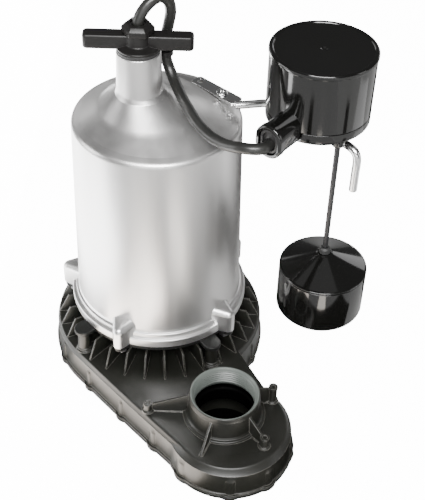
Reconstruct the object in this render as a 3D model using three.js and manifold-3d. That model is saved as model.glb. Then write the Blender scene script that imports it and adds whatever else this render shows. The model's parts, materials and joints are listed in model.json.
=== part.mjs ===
// Submersible sump pump with a vertical float switch, in millimetres, +Z up.
// The origin lies on the motor axis, on the ground. The discharge port is towards -Y, and the
// float switch hangs on its bracket towards +X.
import * as THREE from "three";
import { mergeVertices } from "three/addons/utils/BufferGeometryUtils.js";
import Module from "manifold-3d";

const wasm = await Module();
wasm.setup();

// ---------------------------------------------------------------- driving dimensions

const CLEARANCE = 0.3; // gap between pieces that rest on each other
const RUNNING_GAP = 0.1; // radial gap of a shaft in its bore

// Volute base
const DECK = 30; // height of the deck's top
const DECK_SKIN = 4;
const WALL = 3.5;
const ROUND_R = 85.4; // deck radius around the motor axis
const DRUM = { x: 1.5, y: -139.5, r: 43.5 }; // deck end around the port
const FLANGE_BOTTOM = 4.2;
const FLANGE_TOP = 6;
const LIP = { grow: 3.3, drum: 7.2 }; // how far the bottom flange stands out from the deck's edge
const INLET_R = 24;
const FIN = { count: 32, first: -87.2, thick: 1.5, inner: 60, outer: 84.6, top: 47.6, topOuter: 76.5 };
const PILLAR = { radius: 78, r: 5.25, top: 48.7, angles: [-164.5, -80.3, 15.5, 99.7] };
const PORT = { x: 0, y: -129.3, r: 27, collar: 31.8, rim: 52.6, socket: 24.1, ledge: 21, floor: 33 };
const POSTS = [
  { x: -52.9, y: -103.3, top: 38 },
  { x: 40.7, y: -133.4, top: 46 },
  { x: 13.7, y: -170.9, top: 40 },
];
const POST_R = 3.3;
const DECK_RIB_END = { x: -34, y: -160.4 };

// Bottom plate and its screws, which go up into half-round bosses on the wall
const PLATE_TOP = 3.4;
const BOSS = { r: 4.5, top: 22, lobe: 6.8 };
const BOSS_PLACES = [
  [-84.2, -1.2], [-77.0, -38.4], [-64.0, -78.4], [-50.6, -115.6], [-39.6, -150.2],
  [-18.0, -179.0], [9.5, -181.6], [37.4, -168.2], [41.5, -121.0], [56.0, -65.6],
  [82.6, 9.0], [42.0, 72.0], [-40.0, 73.0],
];

// Motor housing
const FLANGE = { r: 72, bottom: 53, top: 60.6 };
const BODY = { low: 66.6, high: 63.4, shoulder: 219 };
const NECK = { x: -14, y: -2, low: 16.8, high: 15.8, foot: 253, top: 284, bore: 8 };
const CONE_FOOT = { r: 57, z: 227 };
const LUG = { count: 5, first: -137.4, root: 60, nose: 75.5, round: 5, flank: 65, eaves: 68.6, top: 73.8 };
const LUG_BOLT = { radius: 71.5, r: 2.2, head: 4.1 };
const SHELF = { angle: 21.6, distance: 39.3, z: 230.6 };

// Seal plate, motor and pump internals
const SEAL_PLATE = { r: 71, bottom: 49, top: 52.7 };
const SCROLL = { start: 54, widening: 14, from: -60, to: 205 };
const STATOR = { r: 58.6, bore: 29.5, low: 88, high: 158, slots: 18 };
const SHAFT_R = 6;
const BEARING_R = 16;
const IMPELLER = { r: 50, disc: 9, vaneTop: 22.4, vanes: 5 };

// Handle and cord
const HANDLE = { length: 77, section: 11, hub: 8.9, low: 286.7, high: 297.6, turn: -26 };
const CORD_R = 4;

// Float switch
const SWITCH = { x: 95.6, y: -67.5, r: 37.4, low: 240, parting: 250, high: 297, wall: 2.5 };
const GLAND = { turn: 206.7, width: 20, height: 24, z: 251, face: 61, cordZ: 248 };
const FLOAT = { x: 96.4, y: -96.8, r: 33.6, low: 80, rim: 121.4, tip: 136, wall: 2 };
const FLOAT_ROD = { r: 2, low: 100, high: 257 };
const LEVER = { pinY: 8, pinZ: 272, arm: 40, drop: -19.4, width: 6, thick: 2.4, pin: 1.2 };
const BRACKET = { r: 3, z: 231.5, run: -71, drop: 39.6, hookEnd: 197, tab: [45.6, -16.8], screw: [50.2, -5.1] };

// ---------------------------------------------------------------- materials

const finish = (color, roughness, metalness) =>
  new THREE.MeshStandardMaterial({ color, roughness, metalness });
const M = {
  casting: finish(0xb4b5b6, 0.38, 0.85),
  plate: finish(0x6d6f70, 0.5, 0.8),
  steel: finish(0xc4c6c8, 0.25, 1),
  darkSteel: finish(0x4a4a4c, 0.35, 0.9),
  laminations: finish(0x70747a, 0.5, 0.8),
  copper: finish(0xb06a35, 0.4, 0.9),
  basePlastic: finish(0x1d1e1e, 0.35, 0),
  handlePlastic: finish(0x3a3939, 0.5, 0),
  switchPlastic: finish(0x121212, 0.15, 0),
  rubber: finish(0x202020, 0.7, 0),
  cord: finish(0x3c3c3a, 0.5, 0),
  ceramic: finish(0xe8e2d2, 0.3, 0),
  brass: finish(0xb08d45, 0.35, 1),
};

// ---------------------------------------------------------------- geometry helpers

const radians = THREE.MathUtils.degToRad;
const polar = (r, degrees) => [r * Math.cos(radians(degrees)), r * Math.sin(radians(degrees))];

// A solid that manifold-3d can cut and join, made from a closed three.js geometry.
function solid(geometry) {
  const bare = geometry.clone();
  bare.deleteAttribute("normal");
  bare.deleteAttribute("uv");
  const merged = mergeVertices(bare, 1e-4);
  return new wasm.Manifold(
    new wasm.Mesh({
      numProp: 3,
      vertProperties: new Float32Array(merged.attributes.position.array),
      triVerts: new Uint32Array(merged.index.array),
    }),
  );
}

function geometryOf(manifold) {
  const mesh = manifold.getMesh();
  const geometry = new THREE.BufferGeometry();
  geometry.setAttribute("position", new THREE.BufferAttribute(mesh.vertProperties, 3));
  geometry.setIndex(new THREE.BufferAttribute(mesh.triVerts, 1));
  geometry.computeVertexNormals();
  return geometry;
}

const join = (...pieces) => geometryOf(pieces.map(solid).reduce((a, b) => a.add(b)));
const cut = (body, ...tools) => geometryOf(tools.map(solid).reduce((a, b) => a.subtract(b), solid(body)));

const at = (geometry, x, y, z = 0) => geometry.translate(x, y, z);

// A turned piece: the profile is [radius, height] pairs, counter-clockwise, from axis to axis.
function turned(profile, sides = 24) {
  const points = profile.map(([r, z]) => new THREE.Vector2(r, z));
  return new THREE.LatheGeometry(points, sides).rotateX(Math.PI / 2);
}

// A turned ring of rectangular section.
const ring = (inner, outer, low, high, sides = 24) =>
  turned([[inner, low], [outer, low], [outer, high], [inner, high], [inner, low]], sides);

const rod = (r, low, high, sides = 12) => turned([[0, low], [r, low], [r, high], [0, high]], sides);

// A plate of the given outline between two heights.
const plate = (outline, low, high, curveSegments = 6) =>
  new THREE.ExtrudeGeometry(outline, { depth: high - low, bevelEnabled: false, curveSegments })
    .translate(0, 0, low);

const box = (width, depth, low, high) =>
  new THREE.BoxGeometry(width, depth, high - low).translate(0, 0, (low + high) / 2);

const hexagon = (acrossCorners, low, high) => rod(acrossCorners / 2, low, high, 6);

function roundedRectangle(width, height, round) {
  const [x, y] = [width / 2 - round, height / 2 - round];
  const shape = new THREE.Shape();
  shape.absarc(x, y, round, 0, Math.PI / 2);
  shape.absarc(-x, y, round, Math.PI / 2, Math.PI);
  shape.absarc(-x, -y, round, Math.PI, 1.5 * Math.PI);
  shape.absarc(x, -y, round, 1.5 * Math.PI, 2 * Math.PI);
  return shape;
}

function disc(r) {
  const shape = new THREE.Shape();
  shape.absarc(0, 0, r, 0, 2 * Math.PI);
  return shape;
}

// A round rod along a smooth curve through the given points.
function tube(points, r, steps, sides = 8) {
  const path = new THREE.CatmullRomCurve3(
    points.map((p) => new THREE.Vector3(...p)), false, "catmullrom", 0.5,
  );
  return new THREE.ExtrudeGeometry(disc(r), { steps, extrudePath: path, curveSegments: sides / 2 });
}

// A closed skin through outlines of equal point count, one for each height.
function loft(levels) {
  const rings = levels.map(({ outline, z }) => outline.map((p) => [p.x, p.y, z]));
  const count = rings[0].length;
  const index = [];
  for (let level = 0; level + 1 < rings.length; level++) {
    for (let i = 0; i < count; i++) {
      const a = level * count + i;
      const b = level * count + ((i + 1) % count);
      index.push(a, b, b + count, a, b + count, a + count);
    }
  }
  const capFaces = THREE.ShapeUtils.triangulateShape(levels[0].outline, []);
  const top = (rings.length - 1) * count;
  for (const [a, b, c] of capFaces) {
    index.push(a, c, b, top + a, top + b, top + c);
  }
  const geometry = new THREE.BufferGeometry();
  geometry.setAttribute("position", new THREE.Float32BufferAttribute(rings.flat(2), 3));
  geometry.setIndex(index);
  return geometry.toNonIndexed();
}

// The results of a function of t at equal steps from 0 to 1.
const along = (steps, at) => Array.from({ length: steps + 1 }, (_, i) => at(i / steps));

const lugAngles = Array.from({ length: LUG.count }, (_, k) => LUG.first + (k * 360) / LUG.count);

const pump = new THREE.Group();

function piece(name, geometry, material) {
  const mesh = new THREE.Mesh(geometry, material);
  mesh.name = name;
  pump.add(mesh);
  return mesh;
}

// ---------------------------------------------------------------- volute base

// The base's outline in plan, grown outwards by one amount around the motor and along the arm,
// and by another around the drum, so that the two meet in a kink where they differ.
function baseOutline(grow, drumGrow = grow) {
  const round = ROUND_R + grow;
  const drum = DRUM.r + drumGrow;
  const rightX = 42 + grow;
  const rightAngle = -Math.acos(rightX / round);
  const leftAngle = radians(-164);
  const leftJoin = radians(200.25) - Math.acos((DRUM.r - 0.9 + grow) / drum);
  const rightJoin = 2 * Math.PI + Math.acos(Math.min(1, (DRUM.r - 1 + grow) / drum));
  const start = new THREE.Vector2(Math.cos(leftAngle), Math.sin(leftAngle)).multiplyScalar(round);
  const ahead = new THREE.Vector2(-Math.sin(leftAngle), Math.cos(leftAngle));
  const reach = 64; // how far the side keeps the round part's direction before it bends to the drum
  const points = [];
  const addArc = (x, y, r, from, to, steps) => {
    for (let i = 0; i <= steps; i++) {
      const a = from + ((to - from) * i) / steps;
      points.push(new THREE.Vector2(x + r * Math.cos(a), y + r * Math.sin(a)));
    }
  };
  addArc(0, 0, round, rightAngle, leftAngle + 2 * Math.PI, 28);
  const side = new THREE.QuadraticBezierCurve(
    start,
    start.clone().addScaledVector(ahead, reach),
    new THREE.Vector2(DRUM.x + drum * Math.cos(leftJoin), DRUM.y + drum * Math.sin(leftJoin)),
  );
  points.push(...side.getPoints(4).slice(1, -1));
  addArc(DRUM.x, DRUM.y, drum, leftJoin, rightJoin, 16);
  return points;
}

const outlineShape = (grow, drumGrow) => new THREE.Shape(baseOutline(grow, drumGrow));

// The scroll around the impeller, which widens counter-clockwise and leads into the drum.
function scrollShape(grow) {
  const { start, widening, from, to } = SCROLL;
  const spiral = along(14, (t) => new THREE.Vector2(...polar(start + grow + widening * t, from + (to - from) * t)));
  const shape = new THREE.Shape(spiral);
  shape.absarc(PORT.x, PORT.y, PORT.ledge + 3 + grow, Math.PI, 2 * Math.PI);
  return shape;
}

function finGeometry(angle) {
  const profile = new THREE.Shape();
  profile.moveTo(FIN.inner, DECK - 1);
  profile.lineTo(FIN.outer, DECK - 1);
  profile.lineTo(FIN.outer, DECK + 0.4);
  profile.lineTo(FIN.topOuter, FIN.top);
  profile.lineTo(FIN.inner, FIN.top);
  return new THREE.ExtrudeGeometry(profile, { depth: FIN.thick, bevelEnabled: false })
    .translate(0, 0, -FIN.thick / 2)
    .rotateX(Math.PI / 2)
    .rotateZ(radians(angle));
}

function pillarGeometry(angle) {
  const [x, y] = polar(PILLAR.radius, angle);
  const profile = [
    [0, DECK - 1], [PILLAR.r + 1.6, DECK - 1], [PILLAR.r + 1.6, DECK + 1.2],
    [PILLAR.r + 0.3, DECK + 2], [PILLAR.r - 0.4, PILLAR.top], [0, PILLAR.top],
  ];
  return at(turned(profile, 12), x, y);
}

function postGeometry({ x, y, top }) {
  const profile = [
    [0, DECK - 1], [POST_R + 1.4, DECK - 1], [POST_R + 1.4, DECK + 1], [POST_R, DECK + 1.8],
    [POST_R, top - 0.8], [POST_R - 0.8, top], [0, top],
  ];
  return at(turned(profile, 10), x, y);
}

// A thin web standing on the deck from the port's neck to a point, with a sloping top edge.
function webGeometry(toX, toY, endTop) {
  const [dx, dy] = [toX - PORT.x, toY - PORT.y];
  const start = PORT.r - 1;
  const end = Math.hypot(dx, dy);
  const profile = new THREE.Shape();
  profile.moveTo(start, DECK - 1);
  profile.lineTo(end, DECK - 1);
  profile.lineTo(end, endTop);
  profile.lineTo(start, PORT.rim - 3.2);
  return at(
    new THREE.ExtrudeGeometry(profile, { depth: 2.2, bevelEnabled: false })
      .translate(0, 0, -1.1)
      .rotateX(Math.PI / 2)
      .rotateZ(Math.atan2(dy, dx)),
    PORT.x, PORT.y,
  );
}

function voluteBase() {
  const outer = loft([
    { outline: baseOutline(LIP.grow, LIP.drum), z: FLANGE_BOTTOM },
    { outline: baseOutline(LIP.grow, LIP.drum), z: FLANGE_TOP },
    { outline: baseOutline(0.9, 4.3), z: FLANGE_TOP + 0.4 },
    { outline: baseOutline(0.2, 1.6), z: DECK - 3 },
    { outline: baseOutline(0, 0), z: DECK },
  ]);
  const bosses = BOSS_PLACES.map(([x, y]) =>
    at(turned([[0, FLANGE_BOTTOM], [BOSS.r, FLANGE_BOTTOM], [BOSS.r - 0.5, BOSS.top], [0, BOSS.top + 3]], 8), x, y));
  const outside = join(outer, ...bosses);
  const hollow = cut(plate(outlineShape(-WALL), 0, DECK - DECK_SKIN), ...bosses);
  const scrollWall = cut(
    plate(scrollShape(WALL - 0.5), FLANGE_BOTTOM, DECK - 2),
    plate(scrollShape(0), 0, DECK - DECK_SKIN),
  );
  const portBody = at(
    turned([
      [0, DECK - 2], [PORT.collar, DECK - 2], [PORT.collar, DECK + 1.4], [PORT.collar - 1.6, DECK + 3],
      [PORT.r + 0.5, DECK + 19], [PORT.r, DECK + 20.4], [PORT.r, PORT.rim], [0, PORT.rim],
    ], 28),
    PORT.x, PORT.y,
  );
  const added = [
    scrollWall,
    portBody,
    ...Array.from({ length: FIN.count }, (_, k) => finGeometry(FIN.first + (k * 360) / FIN.count)),
    ...PILLAR.angles.map(pillarGeometry),
    ...POSTS.map(postGeometry),
    ...POSTS.map(({ x, y, top }) => webGeometry(x, y, top - 1.5)),
    webGeometry(DECK_RIB_END.x, DECK_RIB_END.y, DECK + 0.6),
  ];
  const bores = [
    at(turned([
      [0, DECK - 12], [PORT.ledge, DECK - 12], [PORT.ledge, PORT.floor], [PORT.socket, PORT.floor],
      [PORT.socket + 0.4, PORT.rim + 1], [0, PORT.rim + 1],
    ], 28), PORT.x, PORT.y),
    rod(INLET_R, 0, DECK + 5, 20),
    ...BOSS_PLACES.map(([x, y]) => at(rod(2, 0, 16.5, 6), x, y)),
    ...PILLAR.angles.map((angle) => at(rod(2.4, 0, PILLAR.top + 1, 6), ...polar(PILLAR.radius, angle))),
    ...lugAngles.map((angle) => at(rod(5.2, 43.4, 50, 8), ...polar(LUG_BOLT.radius, angle))),
  ];
  return cut(join(cut(outside, hollow), ...added), ...bores);
}

const flangeWithLobes = (low, high) =>
  join(
    plate(outlineShape(LIP.grow, LIP.drum), low, high),
    ...BOSS_PLACES.map(([x, y]) => at(rod(BOSS.lobe, low, high, 8), x, y)),
  );

function bottomPlate() {
  const holes = BOSS_PLACES.flatMap(([x, y]) => [
    at(rod(2.2, -1, PLATE_TOP + 1, 6), x, y),
    at(rod(4.4, -1, 2, 6), x, y),
  ]);
  return cut(flangeWithLobes(0, PLATE_TOP), ...holes);
}

function plateGasket() {
  const [low, high] = [PLATE_TOP + 0.1, FLANGE_BOTTOM - 0.1];
  return cut(
    plate(outlineShape(LIP.grow - 0.8, LIP.drum - 0.8), low, high),
    plate(outlineShape(-WALL - 2), low - 1, high + 1),
    ...BOSS_PLACES.map(([x, y]) => at(rod(2.2, low - 1, high + 1, 6), x, y)),
  );
}

piece("volute_base", voluteBase(), M.basePlastic);
piece("bottom_plate", bottomPlate(), M.basePlastic);
piece("plate_gasket", plateGasket(), M.rubber);
BOSS_PLACES.forEach(([x, y], i) => {
  const screw = turned([[0, 0.4], [3.6, 0.4], [3.6, 1.8], [1.7, 1.8], [1.7, 15.5], [0, 15.5]], 6);
  piece(`plate_screw_${i + 1}`, screw, M.steel).position.set(x, y, 0);
});

// ---------------------------------------------------------------- motor housing

// Moves the shoulder and the neck sideways, onto the neck's own axis.
function leanToNeck(geometry) {
  const place = geometry.attributes.position;
  for (let i = 0; i < place.count; i++) {
    const rise = (place.getZ(i) - CONE_FOOT.z) / (NECK.foot - CONE_FOOT.z);
    const share = THREE.MathUtils.clamp(rise, 0, 1);
    place.setXY(i, place.getX(i) + share * NECK.x, place.getY(i) + share * NECK.y);
  }
  return geometry;
}

// A lug in plan, pointing along X: a round nose between two flanks that spread towards the wall.
function lugOutline(grow) {
  const [r, flank] = [LUG.round + grow, radians(LUG.flank)];
  const rootHalf = r * Math.sin(flank) + (LUG.nose + r * Math.cos(flank) - LUG.root) / Math.tan(flank);
  const shape = new THREE.Shape();
  shape.moveTo(LUG.root, -rootHalf);
  shape.absarc(LUG.nose, 0, r, -flank, flank);
  shape.lineTo(LUG.root, rootHalf);
  return shape;
}

// A lug's flat top has a broad rounded edge.
function lugGeometry(angle) {
  const rise = LUG.top - LUG.eaves;
  const levels = [
    [0, FLANGE.bottom], [0, LUG.eaves], [-0.15 * rise, LUG.eaves + 0.5 * rise], [-0.65 * rise, LUG.top],
  ];
  return loft(levels.map(([grow, z]) => ({ outline: lugOutline(grow).getPoints(6), z }))).rotateZ(radians(angle));
}

function motorHousing() {
  const skin = leanToNeck(
    turned([
      [0, FLANGE.bottom], [FLANGE.r, FLANGE.bottom], [FLANGE.r, FLANGE.top], [FLANGE.r - 1.5, FLANGE.top + 1.4],
      [69.2, FLANGE.top + 1.4], [68.8, FLANGE.top + 3.4], [BODY.low + 0.4, FLANGE.top + 4.4],
      [BODY.low, FLANGE.top + 6], [BODY.high, BODY.shoulder], [62.6, 222.4], [60.4, 225.4],
      [CONE_FOOT.r, CONE_FOOT.z], [19.4, 249.4], [17.4, 251.2], [NECK.low, NECK.foot],
      [NECK.high, NECK.top - 1], [NECK.high - 1, NECK.top], [0, NECK.top],
    ], 32),
  );
  const hollow = leanToNeck(
    turned([
      [0, 40], [62.5, 40], [62.5, 58], [59.8, 204], [58.4, 208], [50, 215], [36, 220],
      [13, 244], [NECK.bore, 252], [NECK.bore, NECK.top + 1], [0, NECK.top + 1],
    ], 20),
  );
  const shelf = box(40, 120, SHELF.z, SHELF.z + 40)
    .translate(SHELF.distance + 20, 0, 0)
    .rotateZ(radians(SHELF.angle));
  const boltHoles = lugAngles.map((a) => at(rod(2.6, 50, 67, 6), ...polar(LUG_BOLT.radius, a)));
  const bracketHole = at(rod(2.2, 221, SHELF.z + 5, 12), ...BRACKET.screw);
  return cut(join(skin, ...lugAngles.map(lugGeometry)), hollow, shelf, ...boltHoles, bracketHole);
}

piece("motor_housing", motorHousing(), M.casting);

function sealPlate() {
  const { bottom, top } = SEAL_PLATE;
  const body = turned([
    [0, 41], [22, 41], [24, bottom], [SEAL_PLATE.r, bottom], [SEAL_PLATE.r, top],
    [60.4, top], [60.4, top + 4], [57, top + 4], [56, top], [26, top], [22, 66], [0, 66],
  ], 24);
  const lugEars = lugAngles.map((a) =>
    plate(lugOutline(-1), bottom, top, 3).rotateZ(radians(a)));
  const pillarEars = PILLAR.angles.map((a) =>
    join(at(rod(7.2, bottom, top, 10), PILLAR.radius, 0), at(box(14, 12, bottom, top), PILLAR.radius - 7, 0))
      .rotateZ(radians(a)));
  const holes = [
    rod(SHAFT_R + 0.8, 30, 80, 16),
    rod(12.2, 30, 46.2, 24),
    rod(BEARING_R + RUNNING_GAP, 56, 80, 24),
    ...lugAngles.map((a) => at(rod(2.6, 40, 60, 6), ...polar(LUG_BOLT.radius, a))),
    ...PILLAR.angles.map((a) => at(rod(2.1, 40, 51.8, 6), ...polar(PILLAR.radius, a))),
  ];
  return cut(join(body, ...lugEars, ...pillarEars), ...holes);
}

piece("seal_plate", sealPlate(), M.plate);
piece("housing_seal_ring", ring(60.6, 61.4, 53.2, 55.8, 24), M.rubber);

lugAngles.forEach((a, i) => {
  const bolt = join(hexagon(2 * LUG_BOLT.head, 44.2, 48.8), rod(LUG_BOLT.r, 48, 65.5, 6));
  piece(`lug_bolt_${i + 1}`, bolt, M.steel).position.set(...polar(LUG_BOLT.radius, a), 0);
});

PILLAR.angles.forEach((a, i) => {
  const screw = turned([[0, 21.6], [3.1, 21.6], [3.1, 25.7], [1.8, 25.7], [1.8, 51.2], [0, 51.2]], 6);
  piece(`pillar_screw_${i + 1}`, screw, M.steel).position.set(...polar(PILLAR.radius, a), 0);
});

// ---------------------------------------------------------------- motor internals

function statorCore() {
  const outline = disc(STATOR.r);
  const corners = [];
  const pitch = 360 / STATOR.slots;
  for (let k = 0; k < STATOR.slots; k++) {
    const slot = [[STATOR.bore, -1.6], [44, -3.2], [44, 3.2], [STATOR.bore, 1.6], [STATOR.bore, pitch / 2]];
    corners.push(...slot.map(([r, turn]) => new THREE.Vector2(...polar(r, k * pitch + turn))));
  }
  outline.holes.push(new THREE.Path(corners));
  return plate(outline, STATOR.low, STATOR.high, 12);
}

function endBell() {
  const body = turned([
    [SHAFT_R + 1, 177.2], [50.5, 177.2], [52.5, STATOR.high + CLEARANCE], [58.8, STATOR.high + CLEARANCE],
    [58.8, 181.2], [21, 181.2], [20, 193], [SHAFT_R + 1, 193], [SHAFT_R + 1, 177.2],
  ], 20);
  return cut(body, rod(BEARING_R + RUNNING_GAP, 180, 191, 24));
}

// A winding's end turns: a soft ring with rounded edges.
const windingRing = (low, high) =>
  turned([
    [31.5, low], [47, low], [49.5, low + 3], [49.5, high - 3], [47, high], [31.5, high], [31.5, low],
  ], 18);

const bearing = () =>
  turned([
    [SHAFT_R + RUNNING_GAP, 0], [BEARING_R, 0], [BEARING_R, 9.7], [13.9, 9.7], [13.6, 8.9],
    [8.9, 8.9], [8.6, 9.7], [SHAFT_R + RUNNING_GAP, 9.7], [SHAFT_R + RUNNING_GAP, 0],
  ]);

piece("stator_core", statorCore(), M.laminations);
piece("upper_winding", windingRing(STATOR.high + CLEARANCE, 176.6), M.copper);
piece("lower_winding", windingRing(68.6, STATOR.low - CLEARANCE), M.copper);
piece("end_bell", endBell(), M.plate);
piece("thermal_protector", box(24, 12, 181.5, 190), M.switchPlastic).position.set(0, 40, 0);
piece("upper_bearing", bearing(), M.steel).position.z = 180.2;
piece("lower_bearing", bearing(), M.steel).position.z = 56.2;
piece("seal_seat", ring(SHAFT_R + 1.2, 12, 41.2, 46, 24), M.ceramic);

// ---------------------------------------------------------------- rotor, shaft and impeller

function rotorGeometry() {
  const inner = SHAFT_R + RUNNING_GAP;
  return turned([
    [inner, 81], [27, 81], [27, 87.4], [29, 88], [29, 158], [27, 158.6], [27, 165], [13, 165],
    [12, 158.6], [inner, 158.6], [inner, 81],
  ]);
}

// A backward-curved impeller vane, from the hub to the rim.
function vaneGeometry(angle) {
  const [steps, root, sweep] = [4, 9, -55];
  const edge = (thickness) => (t) =>
    new THREE.Vector2(...polar(root + (IMPELLER.r - root - 1) * t, sweep * t + thickness * (2 - t)));
  const outline = [...along(steps, edge(0)), ...along(steps, edge(3)).reverse()];
  return plate(new THREE.Shape(outline), IMPELLER.disc + 1, IMPELLER.vaneTop).rotateZ(radians(angle));
}

function impeller() {
  const body = turned([
    [0, IMPELLER.disc], [IMPELLER.r, IMPELLER.disc], [IMPELLER.r, IMPELLER.disc + 2.4],
    [16, IMPELLER.disc + 2.8], [11.5, 14], [10.5, 26], [0, 26],
  ], 24);
  const vanes = Array.from({ length: IMPELLER.vanes }, (_, k) => vaneGeometry((k * 360) / IMPELLER.vanes));
  return cut(join(body, ...vanes), rod(SHAFT_R + RUNNING_GAP, 0, 40, 24));
}

const springPoints = Array.from({ length: 19 }, (_, i) => [...polar(8.6, i * 60), 27.6 + (5 * i) / 18]);

piece("shaft", turned([[0, 5], [4, 5], [4, 9.2], [SHAFT_R, 9.2], [SHAFT_R, 192], [5, 193], [0, 193]]), M.steel);
piece("rotor", rotorGeometry(), M.laminations);
piece("seal_rotor", ring(SHAFT_R + 0.1, 11, 34, 41, 24), M.rubber);
piece("seal_spring", tube(springPoints, 0.75, 28, 6), M.steel);
piece("impeller", impeller(), M.handlePlastic);
piece("impeller_nut", cut(hexagon(14, 5, 8.8), rod(4.1, 0, 12, 24)), M.brass);

// ---------------------------------------------------------------- handle, cord nut and cord

function handle() {
  const middle = (HANDLE.low + HANDLE.high) / 2;
  const bar = new THREE.ExtrudeGeometry(roundedRectangle(HANDLE.high - HANDLE.low, HANDLE.section, 2), {
    depth: HANDLE.length,
    bevelEnabled: false,
    curveSegments: 3,
  })
    .translate(0, 0, -HANDLE.length / 2)
    .rotateY(Math.PI / 2)
    .translate(0, 0, middle)
    .rotateZ(radians(HANDLE.turn));
  const hub = turned([
    [0, HANDLE.low], [15.2, HANDLE.low], [15.2, HANDLE.low + 1.4], [12.6, HANDLE.low + 2.4], [9.4, HANDLE.low + 3.6],
    [HANDLE.hub, HANDLE.high + 0.6], [0, HANDLE.high + 0.6],
  ], 24);
  return cut(join(bar, hub), rod(7.8, HANDLE.low - 1, HANDLE.high + 2, 16));
}

function cordNut() {
  const [seat, top] = [HANDLE.high + 0.9, 305.4];
  const body = join(
    turned([[0, seat], [11.8, seat], [11.8, top - 2.6], [8.8, top], [0, top]], 6),
    rod(7.4, 276, seat + 1, 16),
  );
  return cut(body, rod(CORD_R + 0.35, 270, top + 1, 16), rod(5.8, 300.6, top + 1, 16));
}

// A point in the cord's hole through the gland, at a distance from the switch axis.
const onGlandAxis = (distance) => {
  const [x, y] = polar(distance, GLAND.turn);
  return [SWITCH.x + x, SWITCH.y + y, GLAND.cordZ];
};

const cordPath = [
  [NECK.x, NECK.y, 262], [NECK.x, NECK.y, 276], [NECK.x, NECK.y, 290], [NECK.x, NECK.y, 303],
  [-12.9, -2, 308.6], [-9.6, -2, 314], [-4.2, -2, 319], [2.6, -2, 321.4], [8.6, -1.6, 317],
  [11, -0.4, 308.5], [10.4, 1.4, 298.5], [9, 3, 289], [8.4, 3.8, 280], [8.8, 3.8, 271],
  [10.4, 2, 263], [11.2, -5, 256.6], [10.6, -15.5, 253], [10.2, -25, 250.4], [10.4, -35, 247.8],
  [11, -45.4, 244.8], [12.8, -54, 242.6], [15.1, -63, 241.6], [17.8, -73.3, 242.8],
  [20.7, -81.6, 245], [24.6, -89, 247.4], [30.4, -94.6, 248.4], [36.6, -96.4, 248.2],
  ...[61, 54, 46, 38].map(onGlandAxis),
];

function cordClip() {
  const cordAt = [8.5, 3.8];
  const away = Math.atan2(cordAt[1] - NECK.y, cordAt[0] - NECK.x);
  const foot = box(5, 4, 272.4, 277)
    .translate(19.2, 0, 0)
    .rotateZ(away)
    .translate(NECK.x, NECK.y, 0);
  const loop = at(rod(5.9, 272.4, 277, 16), ...cordAt);
  return cut(join(foot, loop), at(rod(CORD_R + 0.5, 270, 280, 16), ...cordAt));
}

piece("handle", handle(), M.handlePlastic).position.set(NECK.x, NECK.y, 0);
piece("handle_seal", ring(8.2, 15.4, NECK.top + 0.2, HANDLE.low - 0.2), M.rubber)
  .position.set(NECK.x, NECK.y, 0);
piece("cord_nut", cordNut().rotateZ(radians(HANDLE.turn)), M.handlePlastic).position.set(NECK.x, NECK.y, 0);
piece("cord_grommet", ring(CORD_R + 0.3, 5.6, 301, 304.2, 16), M.rubber).position.set(NECK.x, NECK.y, 0);
piece("power_cord", tube(cordPath, CORD_R, 56), M.cord);
piece("cord_clip", cordClip(), M.handlePlastic);

// ---------------------------------------------------------------- bracket

const runDirection = polar(1, BRACKET.run);
const alongRun = (distance, z = BRACKET.z) => [
  SWITCH.x + distance * runDirection[0],
  SWITCH.y + distance * runDirection[1],
  z,
];

function bracket() {
  const tab = plate(roundedRectangle(11, 44, 2), SHELF.z + 0.2, SHELF.z + 3, 3)
    .translate(...BRACKET.tab, 0)
    .rotateZ(radians(SHELF.angle));
  const drop = BRACKET.drop;
  const wire = tube([
    [53.5, -20.5, 232.6], [59.5, -22.2, 232.5], [66.9, -23.9, 232.3], [75.2, -25.8, 232], [80.5, -29, 231.7],
    alongRun(-34), alongRun(-18), alongRun(0), alongRun(18), alongRun(drop - 9),
    alongRun(drop - 2.4, BRACKET.z - 2.2), alongRun(drop, BRACKET.z - 8), alongRun(drop, 212),
    alongRun(drop, BRACKET.hookEnd),
  ], BRACKET.r, 32);
  return cut(join(tab, wire), at(rod(2.3, 220, 240), ...BRACKET.screw), at(rod(2.6, 220, 240), 42.7, 16.3));
}

piece("bracket_rod", bracket(), M.steel);
piece("bracket_screw", turned([[0, 222.6], [1.9, 222.6], [1.9, 233.9], [4.3, 233.9], [4, 236],
  [2.4, 237], [0, 237]], 12), M.steel).position.set(...BRACKET.screw, 0);

// ---------------------------------------------------------------- float switch

// The gland's obround section, extruded outwards from the switch axis.
function glandGeometry(width, height, from, to, z = GLAND.z) {
  const section = roundedRectangle(width, height, width / 2 - 0.2);
  return new THREE.ExtrudeGeometry(section, { depth: to - from, bevelEnabled: false, curveSegments: 3 })
    .translate(0, 0, from)
    .rotateX(Math.PI / 2)
    .rotateZ(Math.PI / 2)
    .rotateZ(radians(GLAND.turn))
    .translate(0, 0, z);
}

const glandBore = (r, from, to) =>
  new THREE.CylinderGeometry(r, r, to - from, 16)
    .translate(0, (from + to) / 2, 0)
    .rotateZ(-Math.PI / 2)
    .rotateZ(radians(GLAND.turn))
    .translate(0, 0, GLAND.cordZ);

function switchBody() {
  const { r, wall, parting, high } = SWITCH;
  const cup = turned([
    [0, parting], [r, parting], [r, high - 3.4], [r + 0.6, high - 3], [r + 0.6, high - 0.8], [r, high],
    [r - 2.6, high], [r - 3.2, high - 0.8], [3.6, high - 0.8], [2.6, high - 1.6], [0, high - 1.6],
  ], 28);
  const cavity = rod(r - wall, parting - 20, high - 2.8, 28);
  const shell = cut(join(cup, glandGeometry(GLAND.width, GLAND.height, r - wall - 0.6, GLAND.face)),
    cavity);
  return cut(
    shell,
    glandGeometry(GLAND.width - 4.4, GLAND.height - 4.4, GLAND.face - 12, GLAND.face + 2),
    glandBore(CORD_R + 0.8, 20, GLAND.face),
  );
}

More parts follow.
